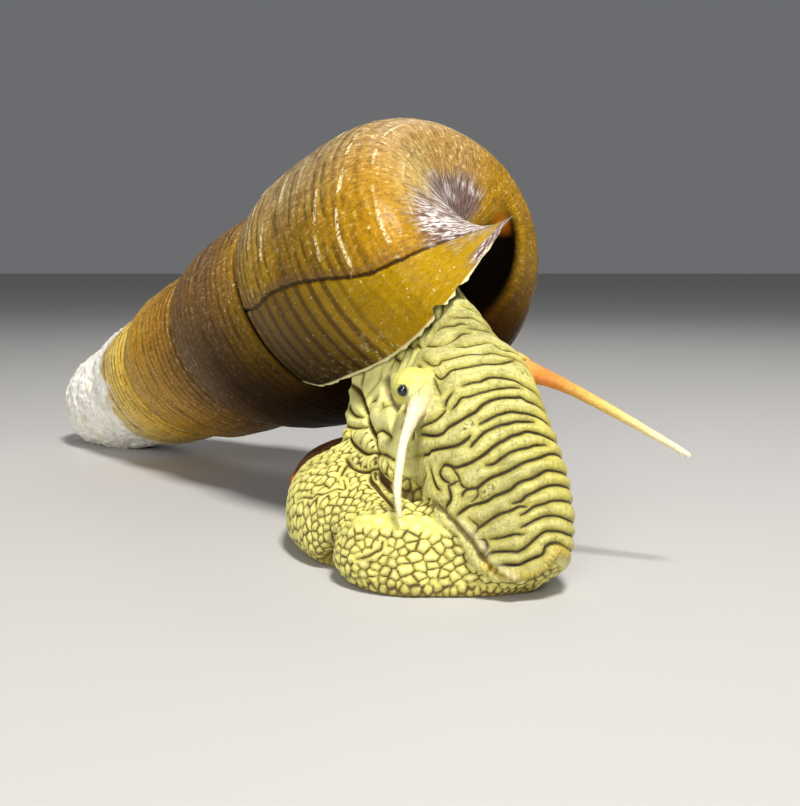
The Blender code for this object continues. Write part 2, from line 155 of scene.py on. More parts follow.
def relax(values, edges, rounds, amount=0.5):
    # Averages each vertex's value or place with its neighbours, by one amount or one for each vertex
    count = len(values)
    degree = np.bincount(edges.ravel(), minlength=count).astype(float)
    flat = values.reshape(count, -1)
    amount = np.broadcast_to(amount, count)[:, None]
    for _ in range(rounds):
        total = np.empty_like(flat)
        for c in range(flat.shape[1]):
            column = flat[:, c]
            total[:, c] = (np.bincount(edges[:, 0], column[edges[:, 1]], count)
                           + np.bincount(edges[:, 1], column[edges[:, 0]], count))
        flat = flat + amount * (total / degree[:, None] - flat)
    return flat.reshape(values.shape)


def storeValue(mesh, name, values):
    attribute = mesh.attributes.new(name, "FLOAT", "POINT")
    attribute.data.foreach_set("value", np.ascontiguousarray(values, dtype=np.float32))


def noiseAt(points, scale, seed=0.0):
    # Smooth noise from -1 to 1 at each point
    shift = Vector((seed * 13.1, seed * 7.7, seed * 3.3))
    return np.array([noise.noise(Vector(p) * scale + shift) for p in points.tolist()])


def hexColour(text):
    # A "#rrggbb" colour as the linear values that the shaders take
    values = [int(text[k:k + 2], 16) / 255 for k in (1, 3, 5)]
    return tuple(v / 12.92 if v <= 0.04045 else ((v + 0.055) / 1.055) ** 2.4 for v in values) + (1.0,)


def treeOf(points):
    tree = kdtree.KDTree(len(points))
    for k, place in enumerate(points):
        tree.insert(place, k)
    tree.balance()
    return tree


def surfaceOf(points, mesh):
    return BVHTree.FromPolygons(points.tolist(), [tuple(face.vertices) for face in mesh.polygons])


def curveDistance(points, curve):
    # Distance from each point to a line of points, and how far along it the nearest place is, from 0 to 1
    line = splineRows(curve, 6)
    tree = treeOf(line)
    low, high = line.min(0) - 3.5, line.max(0) + 3.5
    near = np.all((points > low) & (points < high), axis=1)
    distance, along = np.full(len(points), 99.0), np.zeros(len(points))
    for v in np.nonzero(near)[0]:
        _, k, d = tree.find(points[v])
        distance[v], along[v] = d, k / (len(line) - 1)
    return distance, along


def hasRoom(points, v, key, grid, reach, room):
    # Whether every seed kept so far is further off than room
    p = points[v]
    steps = range(-reach, reach + 1)
    for dx, dy, dz in product(steps, steps, steps):
        for other in grid.get((key[0] + dx, key[1] + dy, key[2] + dz), ()):
            q = points[other]
            if (p[0] - q[0]) ** 2 + (p[1] - q[1]) ** 2 + (p[2] - q[2]) ** 2 < room * room:
                return False
    return True


def scatterSeeds(points, spacing, allowed):
    # Places on a surface that keep their own spacing from each other
    order = rng.permutation(np.nonzero(allowed)[0])
    cell = float(spacing[allowed].min())
    reach = int(math.ceil(float(spacing[allowed].max()) / cell))
    kept, grid = [], {}
    for v in order:
        key = tuple(np.floor(points[v] / cell).astype(int))
        if hasRoom(points, v, key, grid, reach, spacing[v]):
            grid.setdefault(key, []).append(v)
            kept.append(v)
    return np.array(kept)


def cellEdges(points, seeds, wanted):
    # Distance to the nearest border between the seeds' cells, and a random value for each cell
    tree = treeOf(seeds)
    edge, tint = np.full(len(points), 9.0), np.zeros(len(points))
    tints = rng.random(len(seeds))
    for v in np.nonzero(wanted)[0]:
        near = tree.find_n(points[v], 2)
        a, b = near[0], near[1]
        gap = (a[0] - b[0]).length
        edge[v] = (b[2] ** 2 - a[2] ** 2) / (2 * max(gap, 1e-6))
        tint[v] = tints[a[1]]
    return edge, tint


# The shell

shellForm = {
    "turnAngle": 47.7,            # the axis points this far from +X towards -Y, in degrees
    "riseAngle": 17.5,
    "start": (-66.0, 82.9, -9.7),
    "shrink": 0.846,              # each whorl against the next
    "lipAngle": 137.3,
    "along": 100.6, "out": 4.7, "wide": 7.5, "up": 12.4, "down": 12.9, "lean": 0.061,
    "curveUp": 2.2, "curveDown": 3.4,
    "baseOut": 0.26, "baseDown": 4.4,
    "pillar": 1.3,
    "whorls": 6,
    "wornTip": ((41.6, 1.4), (42.3, 3.0), (43.8, 4.2), (46.2, 5.1), (49.8, 6.2), (55.0, 9.0)),
    "wornMiddle": 49.0, "wornFrom": 41.4, "tipEnd": 41.5, "wornTo": 60,   # mm along the axis
    "lipLean": (0.129, 0.037),    # how the lip leans back towards the base
    "lipThick": 0.32, "wallThick": 0.75, "hollowTurns": 0.16, "hollowRings": 36,
    "columns": 640, "baseRows": 120, "bandRows": 60,
}


def shellAxes():
    turn, rise = math.radians(shellForm["turnAngle"]), math.radians(shellForm["riseAngle"])
    along = np.array([math.cos(turn) * math.cos(rise), -math.sin(turn) * math.cos(rise), math.sin(rise)])
    up = np.array([0, 0, 1.0]) - along * along[2]
    up /= np.linalg.norm(up)
    return along, up, np.cross(along, up)


shellAlong, shellUp, shellFront = shellAxes()


def shellOval(phi):
    s = shellForm
    c = np.cos(phi)
    down = c > 0
    curve = np.where(down, s["curveDown"], s["curveUp"])
    da = np.where(down, s["down"], s["up"]) * signedPower(c, 2 / curve)
    r = s["out"] + s["wide"] * signedPower(np.sin(phi), 2 / curve) + s["lean"] * da
    return s["along"] + da, r


def shellWhorl(turns, phi):
    # Distance along the axis, and from it, this many turns back from the lip
    s = shellForm
    a, r = shellOval(phi)
    base = np.clip((a - s["along"]) / s["down"], 0, 1)
    full = np.sin(np.pi * np.clip((turns - 0.3) / 0.7, 0, 1)) ** 2
    side = np.minimum(0.35 + base, 1) * np.clip((math.radians(125) - phi) / 0.6, 0, 1)
    a = a + s["baseDown"] * full * base
    r = r * (1 + s["baseOut"] * full * side)
    size = s["shrink"] ** turns
    return a * size, r * size


def shellPlace(turns, a, r):
    angle = math.radians(shellForm["lipAngle"]) - 2 * np.pi * turns
    out = np.cos(angle)[..., None] * shellUp + np.sin(angle)[..., None] * shellFront
    return np.array(shellForm["start"]) + a[..., None] * shellAlong + r[..., None] * out


def olderRadius(a):
    s = shellForm
    da = a / s["shrink"] - s["along"]
    half, curve = (s["down"], s["curveDown"]) if da > 0 else (s["up"], s["curveUp"])
    if abs(da) >= half:
        return 0.0
    wide = s["wide"] * (1 - (abs(da) / half) ** curve) ** (1 / curve)
    return (s["out"] + wide + s["lean"] * da) * s["shrink"]


def findSeams():
    low, high = math.radians(95), math.radians(175)
    for _ in range(50):
        phi = (low + high) / 2
        a, r = shellOval(np.float64(phi))
        low, high = (phi, high) if r > olderRadius(a) else (low, phi)
    aSeam = shellOval(np.float64(low))[0] / shellForm["shrink"]
    near, far = math.radians(10), math.radians(89)
    for _ in range(50):
        phi = (near + far) / 2
        near, far = (phi, far) if shellOval(np.float64(phi))[0] > aSeam else (near, phi)
    inner = 0.0
    while shellOval(np.float64(inner))[1] > shellForm["pillar"]:
        inner -= 0.002
    return low, near, inner


seamOld, seamNext, pillarPhi = findSeams()


def lipTurns(phi):
    lean = shellForm["lipLean"]
    shift = (lean[0] * np.cos(phi) + lean[1] * np.cos(phi) ** 2) / (2 * np.pi)
    return shift * (1 - smoothStep(phi, seamOld - 0.35, seamOld))


def lipChips(phi):
    # Small breaks in the thin edge of the lip, in turns
    wave = 0.5 * np.sin(phi * 31) + 0.3 * np.sin(phi * 57 + 1) + 0.2 * np.sin(phi * 93 + 2)
    chips = 0.0016 * wave + 0.009 * bump(phi, 0.62, 0.07) + 0.004 * bump(phi, 0.3, 0.05)
    return chips * smoothStep(phi, pillarPhi, pillarPhi + 0.2) * (1 - smoothStep(phi, seamOld - 0.3,
                                                                                 seamOld))


def profileLength(phi):
    # Length along the profile from the columella, in mm at the lip's size
    table = np.linspace(pillarPhi, seamOld, 2000)
    a, r = shellOval(table)
    steps = np.hypot(np.diff(a), np.diff(r))
    return np.interp(phi, table, np.concatenate([[0], np.cumsum(steps)]))


def wearTip(a, r):
    # Keeps the oldest whorls inside a blunt, worn end
    middle = shellForm["wornMiddle"]
    rows = np.array(shellForm["wornTip"])
    angles = np.arctan2(rows[:, 1], rows[:, 0] - middle)[::-1]
    reach = np.hypot(rows[:, 1], rows[:, 0] - middle)[::-1]
    angle = np.arctan2(r, a - middle)
    limit = np.interp(angle, np.append(angles, np.pi), np.append(reach, middle - shellForm["wornFrom"]))
    far = np.hypot(r, a - middle)
    limit = np.where(angle < angles[0], 1e3, limit)
    near = np.where(a < shellForm["wornTo"], np.minimum(far, limit), far)
    scale = near / np.maximum(far, 1e-6)
    return middle + (a - middle) * scale, r * scale


def insetProfile(turns, phi, amount):
    # Points of a whorl's profile moved along its normal in the half plane, inwards if positive
    a, r = shellWhorl(turns, phi)
    a2, r2 = shellWhorl(turns, phi + 1e-4)
    da, dr = a2 - a, r2 - r
    size = np.maximum(np.hypot(da, dr), 1e-9)
    return a - amount * dr / size, r + amount * da / size


def shellInside(points, faces, basePhi, bandPhi, lipIndex, underIndex, axisIndex):
    # Wall of the mouth: rings from the lip's edge back into the shell
    s = shellForm
    lipPhi = np.concatenate([basePhi, bandPhi])
    underPhi = basePhi[:-1][::-1]
    ends = smoothStep(lipPhi, pillarPhi, pillarPhi + 0.5) * (1 - smoothStep(lipPhi, seamOld - 0.5, seamOld))
    depths = s["hollowTurns"] * (np.arange(s["hollowRings"]) / (s["hollowRings"] - 1)) ** 1.5
    extra, rings = [], [np.concatenate([lipIndex, underIndex[::-1]])]
    first = len(points)
    for depth in depths:
        wall = s["lipThick"] + (s["wallThick"] - s["lipThick"]) * smoothStep(depth, 0.0, 0.05)
        fade = 1 - smoothStep(depth, 0.0, 0.09)
        turns = depth + (lipTurns(lipPhi) + lipChips(lipPhi)) * fade + 0.0008
        a, r = insetProfile(turns, lipPhi, 0.06 + (wall - 0.06) * ends)
        a2, r2 = insetProfile(np.full(len(underPhi), 1 + depth), underPhi, -0.14)
        turns = np.concatenate([turns, np.full(len(underPhi), depth + 0.0008)])
        extra.append(shellPlace(turns, np.concatenate([a, a2]), np.maximum(np.concatenate([r, r2]), 0.9)))
        rings.append(first + np.arange(len(turns)))
        first += len(turns)
    for left, right in zip(rings, rings[1:]):
        block = np.stack([left[:-1], right[:-1], right[1:], left[1:]], 1)
        faces += block.tolist()
    # Close the pillar's side and the far end
    faces.append([int(v) for v in ([rings[0][0], rings[1][0]] + [rings[1][-1], rings[0][-1]]
                                   + [axisIndex[-1]] + list(axisIndex[-2::-1]))])
    for left, right in zip(rings[1:], rings[2:]):
        faces.append([int(left[0]), int(right[0]), int(right[-1]), int(left[-1])])
    faces.append([int(v) for v in rings[-1]])
    return np.concatenate(extra)


def buildShell():
    s = shellForm
    count, baseRows, bandRows = s["columns"], s["baseRows"], s["bandRows"]
    basePhi = pillarPhi + (seamNext - pillarPhi) * np.linspace(0, 1, baseRows)
    bandPhi = seamNext + (seamOld - seamNext) * np.arange(1, bandRows + 1) / bandRows
    lipPhi = np.concatenate([basePhi, bandPhi])
    shift = lipTurns(lipPhi) + lipChips(lipPhi)
    turnRows, phiRows = [], []
    for i in range(count):
        turns = i / count
        tau, phi = [turns + shift * (1 - smoothStep(turns, 0.0, 0.09))], [lipPhi]
        for n in range(1, s["whorls"] + (i == 0)):
            phi.append(bandPhi)
            tau.append(np.full(bandRows, turns + n))
        turnRows.append(np.concatenate(tau))
        phiRows.append(np.concatenate(phi))
    first = np.concatenate([[0], np.cumsum([len(row) for row in turnRows])])
    rows = baseRows + bandRows * s["whorls"]
    underStart = first[-1]
    tau = np.concatenate(turnRows + [np.ones(baseRows - 1)])
    phi = np.concatenate(phiRows + [basePhi[:-1]])
    a, r = shellWhorl(tau, phi)
    a, r = wearTip(a, r)
    # One point on the axis for each column, and one under the mouth
    axisTurns = np.arange(count + 1) / count
    axisA = shellWhorl(axisTurns, np.full(count + 1, pillarPhi))[0]
    axisStart = len(tau)
    points = np.concatenate([shellPlace(tau, a, r), shellPlace(axisTurns, axisA, np.zeros(count + 1))])
    tau = np.concatenate([tau, axisTurns])
    phi = np.concatenate([phi, np.full(count + 1, pillarPhi)])
    seam = baseRows + bandRows
    index = [np.arange(first[i], first[i] + rows) for i in range(count)]
    under = underStart + np.arange(baseRows - 1)
    index.append(np.concatenate([under, np.arange(seam - 1, rows + bandRows)]))
    faces = []
    for i in range(count):
        left = np.concatenate([[axisStart + i], index[i]])
        right = np.concatenate([[axisStart + i + 1], index[i + 1]])
        faces += np.stack([left[:-1], left[1:], right[1:], right[:-1]], 1).tolist()
    # Worn end
    rim = [index[i][-1] for i in range(count)] + list(range(rows + bandRows - 1, rows - 1, -1))
    tip = len(points)
    tipPoint = shellPlace(np.zeros(1), np.array([s["tipEnd"]]), np.zeros(1))
    points = np.concatenate([points, tipPoint])
    tau, phi = np.append(tau, s["whorls"]), np.append(phi, seamOld)
    faces += [[int(rim[k]), int(rim[(k + 1) % len(rim)]), tip] for k in range(len(rim))]
    axisIndex = axisStart + np.arange(count + 1)
    extra = shellInside(points, faces, basePhi, bandPhi, index[0][:seam], under, axisIndex)
    inside = np.concatenate([np.zeros(len(points)), np.ones(len(extra))])
    points = np.concatenate([points, extra])
    missing = len(points) - len(tau)
    tau, phi = np.append(tau, np.zeros(missing)), np.append(phi, np.zeros(missing))
    return points, faces, tau, phi, inside


shellMarks = {
    "restLine": ((0.0, 0.062), (6.0, 0.064), (9.4, 0.067), (12.3, 0.075), (14.3, 0.086), (16.6, 0.099),
                 (19.3, 0.110),
                 (23.3, 0.118), (31.0, 0.117)),   # how far round it lies, by the distance across the whorl
    "restDepth": 0.13, "turnLength": 77.0,
    "cordGap": 1.05, "cordHeight": 0.075,
    "threads": (4.9, 7.1, 9.6, 12.0, 14.5, 17.4, 19.8, 22.4, 25.0), "threadHeight": 0.09,
    "threadWidth": 0.17,
    "poleWrinkle": 0.11, "growthWave": 0.03,
    "seamDepth": 0.07, "seamNodule": 0.15,
    "tipRough": 0.45,
}


def markShell(mesh, tau, phi, inside):
    # Relief of the shell, and the values that its colours follow
    m = shellMarks
    points, normals = readPoints(mesh), readNormals(mesh)
    growth, across = tau - lipTurns(phi), profileLength(phi)
    size = shellForm["shrink"] ** tau
    outside = 1 - inside
    seamFar = (profileLength(seamOld) - across) * size
    rest = np.interp(across, *np.array(m["restLine"]).T)
    restFar = (growth - rest) * m["turnLength"] * size
    newer = 1 - smoothStep(restFar, -0.15, 0.15)
    streaks = np.stack([growth * 12, across * 2.2, tau * 0], 1)
    rough = noiseAt(points, 0.9, 2)
    axial = (points - np.array(shellForm["start"])) @ shellAlong
    worn = 1 - smoothStep(axial + 2.2 * noiseAt(points, 0.3, 3), 57, 62)
    base = smoothStep(across, 8.5, 13.5) + 0.35 * smoothStep(across, 4.5, 8) * (1 - smoothStep(across, 8.5,
                                                                                               13.5))
    broken = noiseAt(streaks, 1.0, 6)
    cord = (0.5 + 0.5 * np.cos(2 * np.pi * across / m["cordGap"] + 0.8 * broken)) ** 1.4
    h = m["cordHeight"] * base * (1 - 0.6 * newer) * cord * (0.75 + 0.5 * broken) * size ** 0.5
    drift = 1.3 * (1 - smoothStep(growth, 0.11, 0.21)) * smoothStep(across, 9, 13) - 0.5 * (growth - 0.2)
    spire = smoothStep(tau, 0.9, 1.1)
    gaps = smoothStep(noiseAt(np.stack([growth * (60 + 90 * spire), across * 0.6, tau * 0], 1), 1.0, 8),
                      -0.25, 0.1)
    thread = np.zeros(len(points))
    for k, place in enumerate(m["threads"]):
        strength = 0.55 + 0.45 * math.sin(k * 2.3 + 1.2) ** 2
        thread = np.maximum(thread, strength * bump(across - drift, place, m["threadWidth"]))
    behind = smoothStep(tau, 0.28, 0.42) * (1 - smoothStep(tau, 0.95, 1.05))
    thread = thread * (1 - newer) * (1 - worn) * (1 - 0.45 * spire) * (1 - behind)
    h += m["threadHeight"] * thread * (0.5 + 0.5 * gaps)
    h -= m["restDepth"] * bump(restFar, 0, 0.2) * (1 - smoothStep(tau, 0.2, 0.3)) * smoothStep(across, 3, 8)
    h -= 0.06 * newer * smoothStep(across, 6, 10)
    h += m["growthWave"] * noiseAt(np.stack([growth * 55, across * 0.15, tau * 0], 1), 1.0, 9) * size
    pole = (1 - smoothStep(across, 2.2, 6.8)) * (1 - smoothStep(tau, 0.46, 0.56)) * smoothStep(growth, 0.03,
                                                                                               0.1)
    pull = smoothStep(growth, 0.02, 0.05) * (1 - smoothStep(growth, 0.1, 0.24)) * (1 - smoothStep(across,
                                                                                                  4.8, 9.0))
    pull = pull * (1 - 0.7 * newer)
    pull = np.maximum(pull, (1 - smoothStep(growth, 0.012, 0.03)) * (1 - smoothStep(across, 3.5, 7)))
    ridge = bump(across, 6.3, 0.8) * smoothStep(tau, 0.5, 0.6) * (1 - smoothStep(tau, 0.85, 0.95))
    h += 0.28 * ridge
    wrinkles = noiseAt(np.stack([growth * 95, across * 0.35, tau * 0], 1), 1.0, 12)
    h += m["poleWrinkle"] * np.maximum(0.6 * pole, pull) * wrinkles * smoothStep(across, 0.5, 3.0)
    h -= m["seamDepth"] * size * bump(seamFar, 0, 0.5) * (0.4 + 0.6 * spire)
    beads = growth * 2 * np.pi * 27 + 5 * noiseAt(np.stack([growth * 14, across * 0.1, tau * 0], 1), 1.0,
                                                  14)
    nodules = np.maximum(np.cos(beads), 0) * bump(seamFar / size, 1.3, 0.6) * smoothStep(broken, -0.3, 0.2)
    h += m["seamNodule"] * size * nodules * smoothStep(tau, 0.2, 1.1)
    pits = 0.5 * noiseAt(points, 0.75, 4) + 0.35 * noiseAt(points, 2.0, 5)
    h = h * (1 - worn) + worn * (m["tipRough"] * pits - 0.08)
    h += 0.02 * rough
    h *= outside
    points = points + normals * h[:, None]
    points[:, 2] = np.maximum(points[:, 2], 0.0)
    writePoints(mesh, points / 1000)
    for name, values in (("turn", tau), ("growth", growth), ("across", across), ("inside", inside),
                         ("worn", worn),
                         ("newer", newer * (1 - smoothStep(tau, 0.3, 0.4))), ("restFar", np.clip(restFar,
                                                                                                 -3, 3)),
                         ("seamFar", seamFar), ("cord", cord), ("thread", thread * gaps), ("pole", pole),
                         ("pull", pull),
                         ("wrinkles", wrinkles), ("axial", axial), ("nodules", nodules), ("shellHeight",
                                                                                          points[:, 2])):
        storeValue(mesh, name, values)


points, faces, tau, phi, inside = buildShell()
points[:, 2] = np.maximum(points[:, 2], 0.0)
shellMesh = meshFrom("snailShell", points, faces)
print("shell open edges", faceOutwards(shellMesh))
markShell(shellMesh, tau, phi, inside)
snailShell = addObject("snailShell", shellMesh)
snailShell.data.shade_smooth()
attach(snailShell, "root")
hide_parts("shell")
print("shell made")


# The soft body: foot, neck, head, snout and tentacles in one skin

bodyForm = {
    "foot": (                     # x, y, half width, height, roundness of the sides
        (0.8, -14.7, 2.6, 1.4, 0.7), (0.7, -13.7, 5.0, 3.8, 0.7), (0.7, -11.6, 6.8, 5.2, 0.7),
        (0.5, -9.0, 7.2, 5.4, 0.7),
        (-0.5, -6.2, 8.3, 5.8, 0.62), (-1.6, -2.5, 8.6, 6.7, 0.54), (-2.5, 1.5, 7.9, 7.0, 0.52),
        (-3.4, 6.0, 6.6, 6.5, 0.54),
        (-4.6, 11.0, 5.2, 5.1, 0.6), (-5.9, 15.0, 3.2, 3.4, 0.65), (-6.7, 17.4, 1.3, 1.9, 0.7),
    ),
    "soleInset": 0.86,
    "neck": (                     # x, y, z, half width, half depth
        (-2.4, 4.9, 19.5, 4.7, 3.3), (-1.8, 3.9, 16.5, 5.4, 3.5), (-0.8, 2.1, 13.1, 6.6, 4.4),
        (-0.1, -0.1, 9.8, 7.1, 5.3), (-0.2, -1.4, 6.8, 7.2, 5.8), (-0.5, -2.0, 4.4, 6.8, 5.6),
    ),
    "neckWide": (0.642, -0.7055, 0.3004),
    "head": (
        (1.9, -1.6, 13.0, 2.9, 2.6), (2.4, -3.4, 12.6, 3.9, 3.3), (2.95, -5.8, 11.6, 4.2, 3.7),
        (3.45, -8.2, 9.7, 4.25, 3.7),
        (3.95, -10.0, 7.4, 4.55, 3.6), (4.6, -11.5, 5.0, 4.5, 3.3), (5.4, -12.8, 2.9, 3.9, 2.8),
        (5.9, -13.5, 1.9, 3.3, 2.4),
    ),
    "nape": ((0.2, 0.9, 18.4, 1.9, 1.9), (0.6, -0.2, 16.9, 2.6, 2.3), (1.6, -2.2, 14.6, 3.2, 2.7),
             (2.5, -4.4, 12.2, 3.8, 3.1)),
    "lipSlopes": ((-6.0, 0.9), (-2.0, 1.4),
                  (1.5, 2.2)),   # x, how fast the neck comes forward below the lip
    "tentacleRight": (            # x, y, z, radius
        (0.9, -7.3, 12.6, 1.2), (0.15, -8.5, 12.4, 1.05), (-0.63, -9.4, 11.85, 0.76), (-1.12, -10.3, 10.9,
                                                                                       0.53),
        (-1.46, -11.0, 10.15, 0.41), (-1.78, -11.6, 9.3, 0.33), (-2.0, -12.5, 8.1, 0.31), (-2.16, -13.2,
                                                                                           6.7, 0.28),
        (-2.1, -13.5, 5.6, 0.22), (-2.0, -13.55, 4.9, 0.15),
    ),
    "tentacleLeft": (
        (3.6, -3.7, 13.8, 1.35), (5.1, -4.5, 13.5, 1.3), (6.4, -4.9, 13.25, 1.05), (7.6, -5.4, 13.02, 0.66),
        (8.95, -5.7, 12.5, 0.51), (10.3, -6.0, 11.85, 0.43), (12.9, -6.8, 10.45, 0.36), (15.46, -7.6, 8.99,
                                                                                         0.29),
        (16.9, -8.0, 8.15, 0.25), (17.35, -8.1, 7.85, 0.2),
    ),
    "bulges": (((-1.1, -8.0, 12.55), (1.6, 1.45, 1.3)), ((6.9, -4.1, 13.0), (1.05, 1.05, 0.95))),
    "mouth": ((6.5, -13.9, 1.75), (0.5, -0.6, -0.62), (1.7, 2.3, 0.9)),
    "joinVoxel": 0.22, "skinVoxel": 0.105,
}


def tubePoints(rows, steps, sides, wide=(1, 0, 0), square=2.0):
    line = splineRows(rows, steps)
    centre = line[:, :3]
    ahead = np.gradient(centre, axis=0)
    ahead /= np.linalg.norm(ahead, axis=1)[:, None]
    half = line[:, 3]
    deep = line[:, 4] if line.shape[1] > 4 else half
    turn = 2 * np.pi * np.arange(sides) / sides
    c, s = signedPower(np.cos(turn), 2 / square), signedPower(np.sin(turn), 2 / square)
    rings = []
    for i in range(len(line)):
        side = np.array(wide) - ahead[i] * np.dot(wide, ahead[i])
        side /= np.linalg.norm(side)
        over = np.cross(ahead[i], side)
        shapes = [(0.0, 1.0)]
        if i == 0:
            shapes = [(-0.6, 0.25), (-0.48, 0.62), (-0.24, 0.9)] + shapes
        if i == len(line) - 1:
            shapes += [(0.24, 0.9), (0.48, 0.62), (0.6, 0.25)]
        for shift, scale in shapes:
            middle = centre[i] + ahead[i] * shift * min(half[i], deep[i])
            rings.append(middle + scale * (np.outer(c * half[i], side) + np.outer(s * deep[i], over)))
    return np.concatenate(rings), ringFaces(len(rings), sides)


def footPoints(rows, steps, sides):
    line = splineRows(rows, steps)
    turn = np.pi * np.arange(sides + 1) / sides
    c = signedPower(np.cos(turn), 0.8)
    inset = bodyForm["soleInset"]
    rings = []
    for x, y, half, high, roundness in line:
        s = np.sin(turn) ** roundness
        xs = np.concatenate([[x - half * inset, x + half * inset], x + half * c])
        zs = np.concatenate([[0, 0], high * (0.2 + 0.8 * s)])
        rings.append(np.stack([xs, np.full(len(xs), y), zs], 1))
    return np.concatenate(rings), ringFaces(len(rings), sides + 3)


def ballPoints(place, radius, stretch=(1, 1, 1), facing=(0, 0, 1)):
    bm = bmesh.new()
    bmesh.ops.create_icosphere(bm, subdivisions=4, radius=1.0)
    spin = Vector(facing).to_track_quat("Z", "Y").to_matrix()
    points = [Vector(place) + spin @ Vector((v.co.x * stretch[0], v.co.y * stretch[1],
                                             v.co.z * stretch[2])) * radius
              for v in bm.verts]
    faces = [[v.index for v in f.verts] for f in bm.faces]
    bm.free()
    return np.array(points), faces


def joinForms(name, forms, voxel):
    points, faces = [], []
    for formPoints, formFaces in forms:
        shift = sum(len(p) for p in points)
        points.append(formPoints)
        faces += [[v + shift for v in face] for face in formFaces]
    mesh = meshFrom(name, np.concatenate(points), faces)
    faceOutwards(mesh)
    obj = addObject(name, mesh)
    remesh = obj.modifiers.new("join", "REMESH")
    remesh.mode = "VOXEL"
    remesh.voxel_size = voxel
    graph = bpy.context.evaluated_depsgraph_get()
    joined = bpy.data.meshes.new_from_object(obj.evaluated_get(graph))
    bpy.data.objects.remove(obj)
    return joined


def behindLip(form):
    # The front of the neck comes out from behind the shell's lip, and forwards below it
    points, faces = form
    phi = np.linspace(seamOld, pillarPhi, 90)
    lip = shellPlace(lipTurns(phi), *shellWhorl(lipTurns(phi), phi))
    x, y, z = points.T
    slopeX, slopes = np.array(bodyForm["lipSlopes"]).T
    below = np.maximum(np.interp(x, lip[:, 0], lip[:, 2]) - 0.3 - z, 0)
    limit = np.interp(x, lip[:, 0], lip[:, 1]) + 0.9 - np.interp(x, slopeX, slopes) * below ** 1.1
    return np.stack([x, np.maximum(y, limit), z], 1), faces


def nearKnobs(points, low, high):
    # 1 on the knobs of the eyes, 0 away from them
    knob = np.zeros(len(points))
    for place, radius in bodyForm["bulges"]:
        far = np.linalg.norm((points - np.array(place)) / np.array(radius), axis=1)
        knob = np.maximum(knob, 1 - smoothStep(far, low, high))
    return knob


def growSkin(name, body, feelers):
    b = bodyForm
    forms = [body] + feelers + [ballPoints(place, 1.0, stretch) for place, stretch in b["bulges"]]
    skin = joinForms(name, forms, b["skinVoxel"])
    edges = readEdges(skin)
    points = relax(readPoints(skin), edges, 3)
    points = relax(points, edges, 16, 0.5 * nearKnobs(points, 1.1, 1.7))
    points[:, 2] = np.maximum(points[:, 2], 0.0)
    writePoints(skin, points)
    return skin


def buildSkin():
    # The skin, and its surface without the tentacles, which the photo's lines are laid on
    b = bodyForm
    forms = [
        footPoints(b["foot"], 4, 28),
        behindLip(tubePoints(b["neck"], 6, 72, b["neckWide"], 2.4)),
        behindLip(tubePoints(b["nape"], 6, 56, (1, 0, 0), 2.2)),
        tubePoints(b["head"], 4, 40, (1, 0, 0), 2.3),
        ballPoints(b["mouth"][0], 1.0, b["mouth"][2], b["mouth"][1]),
    ]
    body = joinForms("bodyForm", forms, b["joinVoxel"])
    rough = (relax(readPoints(body), readEdges(body), 12), [list(p.vertices) for p in body.polygons])
    feelers = [tubePoints(b["tentacleRight"], 6, 20), tubePoints(b["tentacleLeft"], 6, 20)]
    skin = growSkin("snailSkin", rough, feelers)
    bare = growSkin("bareSkin", rough, [])
    return skin, surfaceOf(readPoints(bare), bare)


eyeForm = {
    "radius": 0.33, "flat": 0.75,
    "places": (("eyeRight", "eye_right", (-1.84, -9.25, 12.38)), ("eyeLeft", "eye_left",
                                                                  (7.6, -3.3, 12.9))),
}

skinForm = {
    "spots": (((469, 425), 0.5), ((484, 494), 0.55), ((2.0, -12.3, 10.2), 0.4), ((3.6, -14.2, 6.9), 0.4)),
    "bandAxis": (                 # rings of the snout and the nape lie across this line
        (0.6, 1.8, 20.5), (1.2, 0.6, 17.6), (1.8, -0.6, 15.6), (2.5, -3.2, 13.2), (3.1, -5.8, 11.4),
        (3.6, -8.2, 9.7),
        (4.0, -10.0, 7.4), (4.6, -11.5, 5.0), (5.4, -12.8, 2.9), (6.4, -14.3, 0.6),
    ),
    "furrowDepth": 0.15, "pillow": 0.16, "aroundSteps": 44, "aroundStep": 0.16,
    "footCell": 0.57, "tailCell": 0.66, "neckCell": 1.0, "rimCell": 0.42, "ridgeCell": 1.0,
    "cellHeight": 0.16,
    # Lines on the skin, in pixels of the photo or in mm: places, depth, width
    "folds": {
        "snoutSide": (((422, 490), (430, 500), (440, 509), (455, 524), (469, 539), (477, 552), (483, 560),
                       (490, 567), (499, 574), (4.6, -15.5, 1.5)), 0.42, 0.22),
        "hollow": (((401, 490), (408, 494), (417, 497), (-0.5, -10.6, 5.5)), 0.7, 0.6),
        "behindKnob": (((386, 372), (386, 382), (387, 393), (390, 400), (396, 406), (404, 407)), 0.5, 0.4),
        "neckFold": (((351, 384), (358, 392), (362, 401), (368, 422), (376, 445), (378, 476), (392, 492)),
                     0.4, 0.3),
        "lobes": (((-7.4, -7.0, -0.4), (-7.0, -7.6, 0.4), (-6.8, -8.4, 1.2), (-6.6, -9.0, 2.1),
                   (-6.3, -9.5, 3.0)), 1.25, 0.55),
    },
    "frontRidge": (((352, 522), (362, 522), (390, 524), (420, 524), (450, 533)), 0.25, 0.6),
    "lipRim": ((487, 567), (505, 574), (518, 574), (530, 573), (540, 568), (548, 561), (553, 554),
               (560, 550), (568, 552)),
    "snoutEdge": ((-0.38, 0.0, -0.3), 0.14, 0.2),   # beside the fold of the snout: shift, height, width
}

